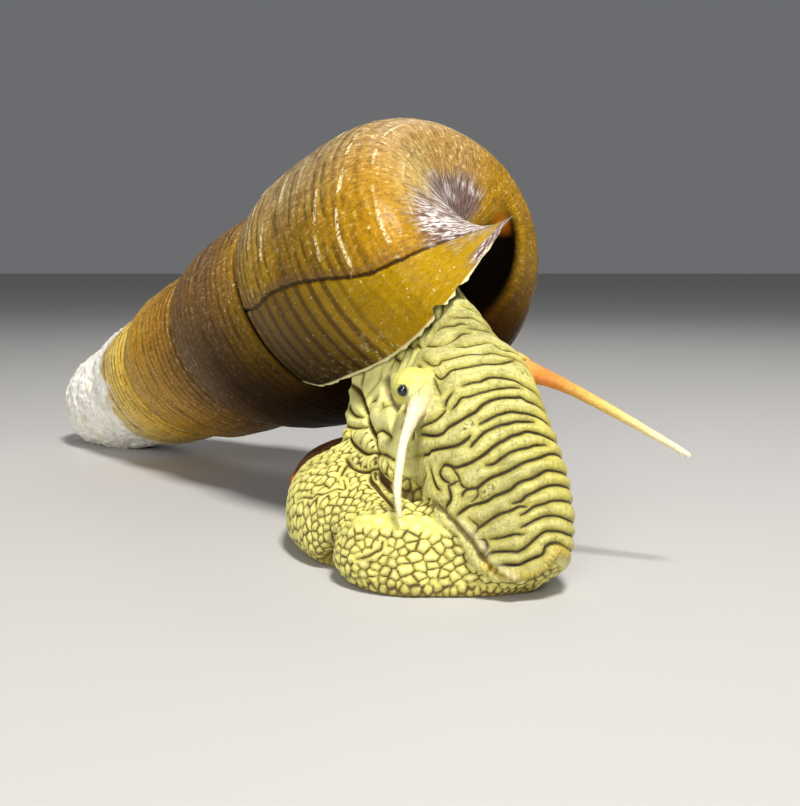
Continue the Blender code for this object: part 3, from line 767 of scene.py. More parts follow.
skinLines = {
    # Lines on the skin: strength, whether it goes on round the right side, and its places,
    # picked in the photo and given in its pixels
    "furrows": (
        (0.35, 1, ((450, 318), (462, 317), (473, 318), (485, 326), (493, 331))),
        (0.3, 1, ((463, 306), (469, 309), (480, 316))),
        (0.45, 0, ((434, 334), (439, 329), (446, 326), (454, 326), (461, 324), (466, 324))),
        (0.3, 1, ((468, 328), (477, 329), (485, 331), (492, 334), (501, 340))),
        (0.5, 0, ((425, 347), (431, 346), (440, 346), (449, 343), (455, 339), (461, 334), (469, 333))),
        (0.55, 1, ((456, 347), (465, 347), (472, 346), (480, 344), (487, 343), (495, 345), (502, 350),
                   (512, 352))),
        (0.4, 1, ((422, 360), (431, 365), (439, 364), (441, 361), (449, 359), (456, 357), (465, 355),
                  (475, 354), (485, 354), (492, 353), (501, 355), (510, 357))),
        (0.6, 0, ((417, 367), (425, 371), (432, 375), (440, 379), (444, 377), (451, 371), (459, 369),
                  (467, 367), (477, 365), (485, 364), (495, 364), (505, 363), (515, 361))),
        (0.4, 0, ((429, 377), (434, 382), (439, 389), (440, 395))),
        (0.7, 1, ((462, 386), (474, 382), (481, 381), (490, 378), (500, 377), (507, 378), (515, 381),
                  (521, 384), (527, 388), (533, 392))),
        (0.6, 0, ((451, 410), (456, 404), (461, 398), (470, 396), (477, 394), (485, 391), (495, 389),
                  (502, 388), (512, 387), (520, 388))),
        (0.8, 0, ((445, 407), (447, 401), (452, 392))),
        (1, 1, ((421, 434), (431, 436), (441, 434), (449, 427), (459, 421), (469, 416), (476, 411),
                (482, 406), (490, 401), (497, 399), (505, 398), (515, 398), (521, 398), (527, 401),
                (534, 404), (540, 408))),
        (0.8, 0, ((420, 428), (431, 422), (440, 417), (445, 411))),
        (0.8, 1, ((480, 424), (487, 420), (496, 416), (502, 414), (511, 412), (521, 413), (530, 414),
                  (537, 417), (545, 422))),
        (0.8, 0, ((470, 447), (475, 441), (484, 432), (491, 430), (500, 426), (507, 424), (515, 422),
                  (524, 422), (535, 422))),
        (1, 0, ((417, 456), (427, 455), (432, 451), (440, 449), (451, 447), (457, 446), (465, 441),
                (470, 436))),
        (0.95, 1, ((441, 468), (446, 465), (454, 467), (461, 466), (469, 463), (477, 459), (485, 454),
                   (492, 449), (500, 443), (505, 440), (512, 436), (520, 434), (527, 432), (535, 433),
                   (541, 434), (548, 437))),
        (0.75, 0, ((486, 466), (494, 464), (501, 459), (510, 454), (519, 449), (527, 447), (535, 445),
                   (547, 445))),
        (0.85, 1, ((461, 496), (465, 491), (469, 489), (477, 487), (485, 482), (492, 477), (501, 474),
                   (510, 470), (519, 466), (527, 462), (536, 459), (544, 456), (550, 454), (556, 454))),
        (0.8, 1, ((456, 517), (461, 512), (470, 507), (479, 504), (486, 501), (495, 497), (502, 494),
                  (510, 490), (517, 485), (525, 481), (532, 478), (540, 474), (547, 471), (555, 471),
                  (561, 472))),
        (0.75, 1, ((512, 503), (520, 501), (527, 497), (535, 493), (542, 489), (550, 486), (557, 485),
                   (565, 487))),
        (0.65, 1, ((521, 516), (527, 511), (535, 507), (544, 504), (552, 502), (560, 501), (567, 502))),
        (0.7, 0, ((479, 528), (485, 524), (492, 519), (501, 514), (510, 511), (519, 507), (527, 507))),
        (0.65, 1, ((521, 527), (529, 524), (536, 521), (544, 517), (551, 516), (559, 516), (565, 519),
                   (569, 521))),
        (0.6, 0, ((490, 539), (500, 539), (507, 536), (515, 535), (524, 534))),
        (0.7, 1, ((485, 557), (492, 553), (502, 551), (512, 551), (519, 551), (525, 548), (531, 543),
                  (537, 537), (545, 532), (552, 531), (560, 532), (568, 534))),
        (0.9, 1, ((497, 566), (507, 566), (519, 566), (527, 562), (535, 559), (542, 554), (546, 547),
                  (552, 544), (559, 543), (565, 547), (568, 549))),
        (0.8, 0, ((441, 468), (440, 474), (443, 480), (449, 484))),
        (0.5, 0, ((452, 468), (458, 477), (461, 485), (468, 489))),
        (1, 0, ((448, 485), (450, 494), (449, 501), (444, 507))),
        (0.8, 0, ((449, 485), (458, 482))),
        (0.7, 0, ((430, 469), (435, 484), (440, 490))),
        (0.9, 0, ((426, 475), (424, 482), (421, 489))),
        (0.4, 0, ((476, 487), (477, 495), (472, 502))),
        (0.5, 0, ((470, 519), (478, 527), (474, 537))),
        (0.6, 0, ((478, 540), (485, 541), (486, 549), (482, 556))),
    ),
    "lumps": (
        (1, 0, ((344, 378), (351, 384), (358, 392), (362, 401), (366, 412), (368, 422), (373, 435),
                (376, 445), (377, 465), (378, 476), (385, 484), (392, 492))),
        (0.7, 0, ((342, 396), (349, 407), (354, 415), (362, 417))),
        (0.6, 0, ((341, 420), (346, 425), (355, 428), (366, 427))),
        (0.8, 0, ((349, 431), (351, 440), (357, 448), (366, 453), (375, 452))),
        (0.9, 0, ((346, 456), (350, 464), (356, 469), (362, 471), (369, 471), (376, 467))),
        (0.7, 0, ((377, 399), (372, 402), (369, 408), (369, 415))),
        (0.7, 0, ((394, 408), (395, 417), (393, 426), (390, 437))),
        (0.7, 0, ((373, 433), (379, 431), (382, 430), (389, 434), (391, 440))),
        (0.6, 0, ((378, 452), (385, 455), (393, 459))),
        (0.6, 0, ((381, 371), (379, 381), (373, 389), (367, 396))),
        (0.8, 0, ((363, 371), (362, 382), (359, 391))),
        (0.6, 0, ((336, 437), (343, 440), (349, 437))),
        (0.7, 0, ((356, 470), (349, 464), (343, 470), (340, 476))),
        (0.9, 0, ((369, 472), (371, 481), (378, 489), (388, 500), (394, 508))),
        (0.8, 0, ((377, 466), (383, 478), (390, 484))),
    ),
    "grooves": (
        (0.6, 0, ((297, 462), (307, 463), (313, 461), (322, 461), (329, 462), (333, 459), (338, 457),
                  (345, 457))),
        (0.7, 0, ((303, 481), (312, 478), (319, 479), (326, 477), (331, 476), (336, 473))),
        (0.85, 0, ((297, 499), (305, 497), (312, 498), (316, 494), (322, 494), (329, 492), (336, 489),
                   (344, 489), (344, 482))),
        (0.75, 0, ((291, 509), (299, 514), (307, 514), (317, 515), (322, 511), (329, 507), (336, 506),
                   (345, 510), (355, 512))),
        (0.65, 0, ((294, 522), (304, 529), (311, 527), (318, 525), (320, 522), (324, 524), (331, 528))),
        (0.6, 0, ((299, 534), (309, 540), (314, 536))),
        (0.75, 0, ((344, 547), (350, 549), (358, 546), (363, 542), (371, 537), (381, 536), (390, 535),
                   (398, 534), (405, 536), (413, 535), (420, 533), (425, 533), (434, 540), (444, 541),
                   (455, 540))),
        (0.9, 0, ((356, 559), (367, 556), (375, 553), (380, 549), (383, 542))),
        (0.7, 0, ((419, 550), (428, 549), (437, 549), (445, 553), (457, 552), (466, 551))),
        (0.5, 0, ((437, 541), (439, 549))),
        (0.7, 0, ((421, 543), (424, 555), (429, 564), (432, 568))),
        (0.7, 0, ((415, 572), (427, 572), (431, 569), (440, 569), (445, 572), (446, 580))),
        (0.6, 0, ((450, 569), (457, 564), (469, 563))),
        (0.6, 0, ((457, 576), (470, 577), (480, 576))),
        (0.6, 0, ((339, 531), (346, 528), (353, 529), (360, 527), (362, 522))),
        (0.6, 0, ((355, 513), (357, 519), (361, 525))),
    ),
}


def placeOnSkin(place, bare):
    # Three numbers are a place in mm. Two are a pixel of the photo, which gives the skin that shows there,
    # or the nearest skin where the pixel lies just past its edge.
    if len(place) == 3:
        return place
    tilt = math.radians(view["tilt"])
    right, down = np.array([1.0, 0, 0]), np.array([0, -math.sin(tilt), -math.cos(tilt)])
    x, y = (place[k] - view["middle"][k] for k in (0, 1))
    way = x / view["focus"] * right + y / view["focus"] * down + np.array([0, math.cos(tilt),
                                                                           -math.sin(tilt)])
    eye = np.array(view["place"])
    hit = bare.ray_cast(Vector(eye), Vector(way).normalized())[0]
    if hit is None:
        passes = [bare.find_nearest(Vector(eye + way * far)) for far in np.linspace(60, 100, 400)]
        hit = min(passes, key=lambda found: found[3])[0]
    return tuple(round(round(v, 2), 1) for v in hit)


def bandDirection(point, axis, ahead):
    k = int(np.argmin(np.sum((axis - point) ** 2, axis=1)))
    return ahead[k]


def drawLines(group, normals, tree, surface, bare, least=0.0):
    # Samples every 0.08 mm or so along the lines of one group, laid on the skin, with the strength of each
    axis = splineRows(skinForm["bandAxis"], 8)
    ahead = np.gradient(axis, axis=0)
    ahead /= np.linalg.norm(ahead, axis=1)[:, None]
    places, strengths = [], []
    for strength, around, rows in skinLines[group]:
        if strength < least:
            continue
        line = splineRows([placeOnSkin(place, bare) for place in rows], 9)
        line = np.array([np.array(surface.find_nearest(Vector(p))[0]) for p in line])
        if around:
            # Goes on across the axis, round the side of the snout that the picture doesn't show
            here, way = line[-1], line[-1] - line[-6]
            more = []
            for _ in range(skinForm["aroundSteps"]):
                v = tree.find(here)[1]
                along = np.cross(normals[v], bandDirection(here, axis, ahead))
                along /= max(np.linalg.norm(along), 1e-6)
                way = along if np.dot(along, way) > 0 else -along
                here = here + skinForm["aroundStep"] * way
                here = np.array(surface.find_nearest(Vector(here))[0])
                more.append(here)
            line = np.vstack([line, more])
        ends = smoothStep(np.arange(len(line)), -2, 7)
        if not around:
            ends = ends * ends[::-1]
        places.append(line)
        strengths.append(strength * (0.25 + 0.75 * ends))
    return np.vstack(places), np.concatenate(strengths)


def nearestLine(points, wanted, places, strengths):
    tree = treeOf(places)
    last = len(places) - 1
    far, power = np.full(len(points), 9.0), np.zeros(len(points))
    for v in np.nonzero(wanted)[0]:
        point = points[v]
        _, k, d = tree.find(point)
        for m in (max(k - 1, 0), min(k, last - 1)):
            start, way = places[m], places[m + 1] - places[m]
            square = way @ way
            if 1e-9 < square < 0.1:
                t = min(max((point - start) @ way / square, 0), 1)
                d = min(d, float(np.linalg.norm(point - start - t * way)))
        far[v], power[v] = d, strengths[k]
    return far, power


def formDistance(points, wanted, form):
    tree = BVHTree.FromPolygons(form[0].tolist(), [tuple(face) for face in form[1]])
    far = np.full(len(points), 9.0)
    for v in np.nonzero(wanted)[0]:
        far[v] = tree.find_nearest(Vector(points[v]))[3]
    return far


def detailSkin(mesh, bare):
    f, b = skinForm, bodyForm
    points, edges = readPoints(mesh), readEdges(mesh)
    normals = readNormals(mesh)
    x, y, z = points.T
    everywhere = np.ones(len(points), bool)
    tree = treeOf(points)
    surface = surfaceOf(points, mesh)
    move = np.zeros(len(points))
    # Folds, the edge of the snout and the rolled front of the foot
    fold = np.zeros(len(points))
    for curve, depth, width in f["folds"].values():
        d, along = curveDistance(points, [placeOnSkin(place, bare) for place in curve])
        ends = smoothStep(along, -0.01, 0.12) * (1 - smoothStep(along, 0.88, 1.01))
        move -= depth * bump(d, 0, width) * ends
        fold = np.maximum(fold, bump(d, 0, width * 1.1) * ends)
    shift, height, width = f["snoutEdge"]
    side = [placeOnSkin(place, bare) for place in f["folds"]["snoutSide"][0]]
    d, along = curveDistance(points + np.array(shift), side)
    snoutEdge = bump(d, 0, width) * smoothStep(along, 0.25, 0.4)
    move += height * snoutEdge
    curve, height, width = f["frontRidge"]
    d, along = curveDistance(points, [placeOnSkin(place, bare) for place in curve])
    ridge = bump(d, 0, width) * smoothStep(along, -0.01, 0.15) * (1 - smoothStep(along, 0.85, 1.01))
    move += height * ridge
    # Tentacles stay smooth, and so do the knobs of the eyes
    feeler, feelerAlong = np.zeros(len(points)), np.zeros(len(points))
    for name in ("tentacleRight", "tentacleLeft"):
        rows = splineRows(b[name], 6)
        d, along = curveDistance(points, rows[:, :3][::6])
        reach = np.interp(along, np.linspace(0, 1, len(rows)), rows[:, 3])
        on = (1 - smoothStep(d - reach, 0.15, 0.5)) * smoothStep(along, 0.15, 0.35)
        feelerAlong = np.where(on > feeler, along, feelerAlong)
        feeler = np.maximum(feeler, on)
    plain = np.maximum(feeler, 0.9 * nearKnobs(points, 1.05, 1.35))
    # Furrows of the head, kept off the foot
    places, strengths = drawLines("furrows", normals, tree, surface, bare)
    furrow, furrowPower = nearestLine(points, everywhere, places, strengths)
    low = z < 8.5
    headFar = formDistance(points, low, tubePoints(b["head"], 4, 40, (1, 0, 0), 2.3))
    footFar = formDistance(points, low, footPoints(b["foot"], 4, 28))
    onFoot = np.where(low, smoothStep(headFar - footFar, -0.05, 0.3), 0)
    banded = (1 - smoothStep(furrow, 0.85, 1.25)) * (1 - onFoot) * (1 - plain)
    banded = relax(banded, edges, 4)
    furrowPower = 0.28 + 0.75 * furrowPower
    power = relax(furrowPower, edges, 12)
    wobble = 0.85 + 0.3 * noiseAt(points, 0.8, 3)
    move -= f["furrowDepth"] * banded * power * wobble * bump(furrow, 0, 0.11)
    move += f["pillow"] * banded * (power + 0.2) * (1 - np.exp(-(furrow / 0.33) ** 2))
    # Lumps of the neck
    places, strengths = drawLines("lumps", normals, tree, surface, bare)
    lump, lumpPower = nearestLine(points, x < 0, places, strengths)
    lumpy = (1 - smoothStep(lump, 1.0, 1.5)) * (1 - plain)
    move += relax(lumpy * (0.36 * (1 - np.exp(-(lump / 0.36) ** 1.5)) - 0.16), edges, 2)
    # Warts of the foot and of the rest of the neck
    places, strengths = drawLines("grooves", normals, tree, surface, bare, 0.84)
    groove, groovePower = nearestLine(points, (z < 7.5) & (x < 3.5), places, strengths)
    cells = (1 - banded) * (1 - plain)
    neck = smoothStep(z, 5.9, 6.8) * (1 - onFoot)
    wanted = cells > 0.02
    back = smoothStep(y, -8, -4)
    size = f["footCell"] + (f["tailCell"] - f["footCell"]) * back + 0.08 * noiseAt(points, 0.6, 4)
    size = size + (f["ridgeCell"] - size) * smoothStep(ridge, 0.25, 0.7)
    bend = np.stack([noiseAt(points, 0.8, seed) for seed in (11, 12, 13)], 1)
    tall = (points + 0.22 * bend) * np.stack([np.ones(len(points)), np.ones(len(points)),
                                              1.2 - 0.45 * back], 1)
    footSeeds = scatterSeeds(tall, size, wanted & (z < 7.2) & (z > 0.05))
    footEdge, footTint = cellEdges(tall, tall[footSeeds], wanted)
    long = points * np.array([1, 1, 0.5])
    neckSeeds = scatterSeeds(long, np.full(len(points), f["neckCell"]), wanted & (z > 5.0))
    neckEdge, neckTint = cellEdges(long, long[neckSeeds], wanted & (z > 4.5))
    narrow = points * np.array([1, 1, 0.4])
    rim = (1 - smoothStep(z, 0.7, 1.2)) * (1 - banded)
    rimSeeds = scatterSeeds(narrow, np.full(len(points), f["rimCell"]), wanted & (z < 1.6) & (z > 0.03))
    rimEdge, _ = cellEdges(narrow, narrow[rimSeeds], wanted & (z < 1.6))
    edge = footEdge * (1 - neck) + neckEdge * neck
    edge = np.where(rimEdge < 8, edge * (1 - rim) + rimEdge * rim, edge)
    tint = footTint * (1 - neck) + neckTint * neck
    # Drawn lines take over from the borders of the cells beside them
    drawn = np.minimum(lump, groove)
    edge = edge + 0.5 * (1 - smoothStep(drawn, 0.1, 0.35))
    edge = edge + 0.35 * lumpy * neck
    edge = np.clip(np.minimum(edge, drawn), 0, 1)
    dome = 1 - np.exp(-(edge / 0.16) ** 1.4)
    crest = smoothStep(ridge, 0.2, 0.6)
    move += f["cellHeight"] * cells * (dome - 0.6) * (1 - 0.8 * crest) * (1 - 0.6 * lumpy * neck)
    ink = 0.7 + 0.3 * noiseAt(points, 1.1, 7)
    lineInk = np.where(lump < groove, 1.7 * lumpPower, groovePower)
    ink = np.where(drawn < 0.4, np.maximum(lineInk, ink), ink) * (1 - 0.85 * crest)
    # Frilled lip
    d, along = curveDistance(points, [placeOnSkin(place, bare) for place in f["lipRim"]])
    frill = bump(d, 0, 0.3)
    pleats = np.cos(along * 2 * np.pi * 21 + 1.5 * np.sin(along * 23))
    move += frill * (0.16 + 0.07 * pleats)
    move += 0.018 * noiseAt(points, 2.6, 5)
    move *= smoothStep(z, 0.0, 0.25)
    points = points + normals * move[:, None]
    points = relax(points, edges, 1, 0.3)
    points[:, 2] = np.maximum(points[:, 2], 0.0)
    writePoints(mesh, points / 1000)
    onBand = banded > 0.5
    storeValue(mesh, "lineFar", np.where(onBand, np.minimum(furrow, 1), edge))
    storeValue(mesh, "lineInk", relax(np.where(onBand, furrowPower, ink * cells), edges, 3))
    storeValue(mesh, "banded", banded)
    storeValue(mesh, "cells", cells)
    storeValue(mesh, "cellTint", tint)
    storeValue(mesh, "fold", fold)
    storeValue(mesh, "feeler", feeler)
    storeValue(mesh, "feelerAlong", feelerAlong)
    storeValue(mesh, "feelerSide", (x > 3).astype(float))
    storeValue(mesh, "neck", neck)
    storeValue(mesh, "frill", frill)
    storeValue(mesh, "pleats", frill * (0.5 - 0.5 * pleats))
    storeValue(mesh, "height", z)
    storeValue(mesh, "ridge", ridge)
    storeValue(mesh, "snoutEdge", snoutEdge)
    d, along = curveDistance(points, f["bandAxis"])
    axis = splineRows(f["bandAxis"], 12)
    middle = np.stack([np.interp(along, np.linspace(0, 1, len(axis)), axis[:, k]) for k in range(3)], 1)
    storeValue(mesh, "besideX", points[:, 0] - middle[:, 0])
    storeValue(mesh, "besideY", points[:, 1] - middle[:, 1])
    storeValue(mesh, "alongSnout", along * 26)
    eyeFar = np.linalg.norm(points - np.array(eyeForm["places"][0][2]), axis=1)
    storeValue(mesh, "eyeFar", np.minimum(eyeFar, 3))
    spots = np.zeros(len(points))
    for place, radius in f["spots"]:
        far = np.linalg.norm(points - np.array(placeOnSkin(place, bare)), axis=1)
        spots = np.maximum(spots, 1 - smoothStep(far, radius * 0.4, radius))
    storeValue(mesh, "spots", spots)


skinMesh, bareSurface = buildSkin()
print("skin joined", len(skinMesh.vertices))
detailSkin(skinMesh, bareSurface)
snailSkin = addObject("snailSkin", skinMesh)
snailSkin.data.shade_smooth()
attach(snailSkin, "root")
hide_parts("head", "snout", "mouth", "neck", "foot_front", "foot_tail", "tentacle_right_base",
            "tentacle_right_tip", "tentacle_left_base", "tentacle_left_tip")
print("skin detailed")


lidForm = {
    "place": (-8.85, 8.4, 5.45), "tilt": (-34, 12, 112), "long": 4.3, "wide": 3.05, "thick": 0.42,
    "dome": 0.9,
    "sides": 220, "rings": 40, "growthRings": 13, "ringHeight": 0.05, "fuzz": 0.26,
}


def buildEyes():
    eyes = []
    for name, node, place in eyeForm["places"]:
        bm = bmesh.new()
        bmesh.ops.create_uvsphere(bm, u_segments=40, v_segments=24, radius=eyeForm["radius"] / 1000)
        turn = Vector((-0.25, -1, 0.1)).to_track_quat("Z", "Y").to_matrix().to_4x4()
        squash = Matrix.Diagonal((1, 1, eyeForm["flat"], 1))
        bmesh.ops.transform(bm, verts=bm.verts[:],
                            matrix=Matrix.Translation(Vector(place) / 1000) @ turn @ squash)
        mesh = bpy.data.meshes.new(name)
        bm.to_mesh(mesh)
        bm.free()
        eye = addObject(name, mesh)
        mesh.shade_smooth()
        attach(eye, "root")
        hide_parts(node)
        eyes.append(mesh)
    return eyes


def buildLid():
    # Horny plate on the back of the foot: growth rings and a frayed edge
    f = lidForm
    spin = Matrix.Rotation(math.radians(f["tilt"][2]), 3, "Z") @ Matrix.Rotation(math.radians(f["tilt"][1]),
                                                                                 3, "Y")
    spin = np.array(spin @ Matrix.Rotation(math.radians(f["tilt"][0]), 3, "X"))
    angle = np.arange(f["sides"]) / f["sides"] * 2 * np.pi
    torn = 0.03 * rng.standard_normal(len(angle))
    fray = 1 + 0.03 * np.sin(angle * 37) + 0.02 * np.sin(angle * 61 + 1) + torn
    x, y = np.cos(angle) * f["long"], np.sin(angle) * f["wide"] * (1 - 0.18 * np.cos(angle))
    levels = []
    for k in range(f["rings"] + 1):
        levels.append((0.03 + 0.97 * k / f["rings"], 1))
    levels += [(1.01, 0.0), (0.99, -1)] + [(0.99 - 0.96 * k / 8, -1) for k in range(1, 9)]
    rings, far = [], []
    for scale, side in levels:
        ruffle = 1 + (fray - 1) * scale ** 6
        rise = f["ringHeight"] * math.sin(scale * f["growthRings"] * 2 * np.pi) if side > 0 else 0
        thick = f["thick"] * (1 - 0.6 * scale ** 3) / 2
        fuzz = f["fuzz"] * scale ** 8 * np.sin(angle * 44 + 2 * np.sin(angle * 5))
        height = side * thick + rise - f["dome"] * scale ** 2 + fuzz
        rings.append(np.stack([x * scale * ruffle, y * scale * ruffle, np.broadcast_to(height, x.shape)],
                              1))
        far.append(np.full(len(angle), scale))
    points = np.concatenate(rings) @ spin.T + np.array(f["place"])
    faces = ringFaces(len(rings), f["sides"])
    mesh = meshFrom("operculumPlate", points / 1000, faces)
    print("operculum open edges", faceOutwards(mesh))
    storeValue(mesh, "fromMiddle", np.concatenate(far))
    storeValue(mesh, "round", np.tile(angle, len(rings)))
    plate = addObject("operculumPlate", mesh)
    mesh.shade_smooth()
    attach(plate, "root")
    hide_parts("operculum")
    return mesh


eyeMeshes = buildEyes()
lidMesh = buildLid()
print("eyes and operculum made")


# Materials

class Paint:
    # A node material that is written as short sums
    def __init__(self, name):
        self.material = bpy.data.materials.new(name)
        self.material.use_nodes = True
        self.tree = self.material.node_tree
        self.shader = self.tree.nodes["Principled BSDF"]

    def node(self, kind, **settings):
        made = self.tree.nodes.new(kind)
        for key, value in settings.items():
            setattr(made, key, value)
        return made

    def plug(self, socket, value):
        if isinstance(value, bpy.types.NodeSocket):
            self.tree.links.new(value, socket)
        else:
            socket.default_value = value

    def value(self, name):
        return self.node("ShaderNodeAttribute", attribute_name=name).outputs["Fac"]

    def math(self, operation, *values):
        made = self.node("ShaderNodeMath", operation=operation)
        for socket, value in zip(made.inputs, values):
            self.plug(socket, value)
        return made.outputs[0]

    def times(self, first, second):
        return self.math("MULTIPLY", first, second)

    def plus(self, first, second):
        return self.math("ADD", first, second)

    def minus(self, first, second):
        return self.math("SUBTRACT", first, second)

    def step(self, value, low, high, start=0.0, end=1.0):
        made = self.node("ShaderNodeMapRange", interpolation_type="SMOOTHSTEP")
        for socket, v in zip(made.inputs, (value, low, high, start, end)):
            self.plug(socket, v)
        return made.outputs[0]

    def mix(self, amount, first, second, blend="MIX"):
        made = self.node("ShaderNodeMix", data_type="RGBA", blend_type=blend)
        self.plug(made.inputs[0], amount)
        self.plug(made.inputs[6], first)
        self.plug(made.inputs[7], second)
        return made.outputs[2]

    def ramp(self, value, stops):
        made = self.node("ShaderNodeValToRGB")
        marks = made.color_ramp.elements
        while len(marks) < len(stops):
            marks.new(0.5)
        for mark, (place, colour) in zip(marks, stops):
            mark.position = place
            mark.color = hexColour(colour)
        self.plug(made.inputs[0], value)
        return made.outputs[0]

    def noise(self, scale, detail=2.0, vector=None, roughness=0.5, distortion=0.0):
        made = self.node("ShaderNodeTexNoise")
        self.plug(made.inputs["Scale"], scale)
        self.plug(made.inputs["Detail"], detail)
        self.plug(made.inputs["Roughness"], roughness)
        self.plug(made.inputs["Distortion"], distortion)
        self.plug(made.inputs["Vector"], vector or self.place())
        return made.outputs["Fac"]

    def place(self):
        # Object coordinates in mm
        coordinates = self.node("ShaderNodeTexCoord").outputs["Object"]
        made = self.node("ShaderNodeVectorMath", operation="SCALE")
        self.plug(made.inputs[0], coordinates)
        made.inputs["Scale"].default_value = 1000
        return made.outputs[0]

    def vector(self, x, y, z):
        made = self.node("ShaderNodeCombineXYZ")
        for socket, v in zip(made.inputs, (x, y, z)):
            self.plug(socket, v)
        return made.outputs[0]

    def raiseUp(self, height, distance, strength=1.0, below=None):
        made = self.node("ShaderNodeBump")
        made.inputs["Strength"].default_value = strength
        made.inputs["Distance"].default_value = distance
        self.plug(made.inputs["Height"], height)
        if below:
            self.plug(made.inputs["Normal"], below)
        return made.outputs[0]


skinColours = {
    "top": "#f6f27c", "snout": "#cdc25c", "foot": "#fdf580", "olive": "#8d8744", "line": "#171003",
    "shade": "#7a6a26",
    "fold": "#54340c", "feeler": "#fdf3cf", "orange": "#e88a1c", "straw": "#f2dc5a", "lip": "#ecd04a",
    "sole": "#9a7c32", "edge": "#f7f2c4",
    "brown": "#553a12", "pink": "#d9a890", "eye": "#0b1226", "pale": "#fbf7b4", "highlightGold": "#f2e256",
}


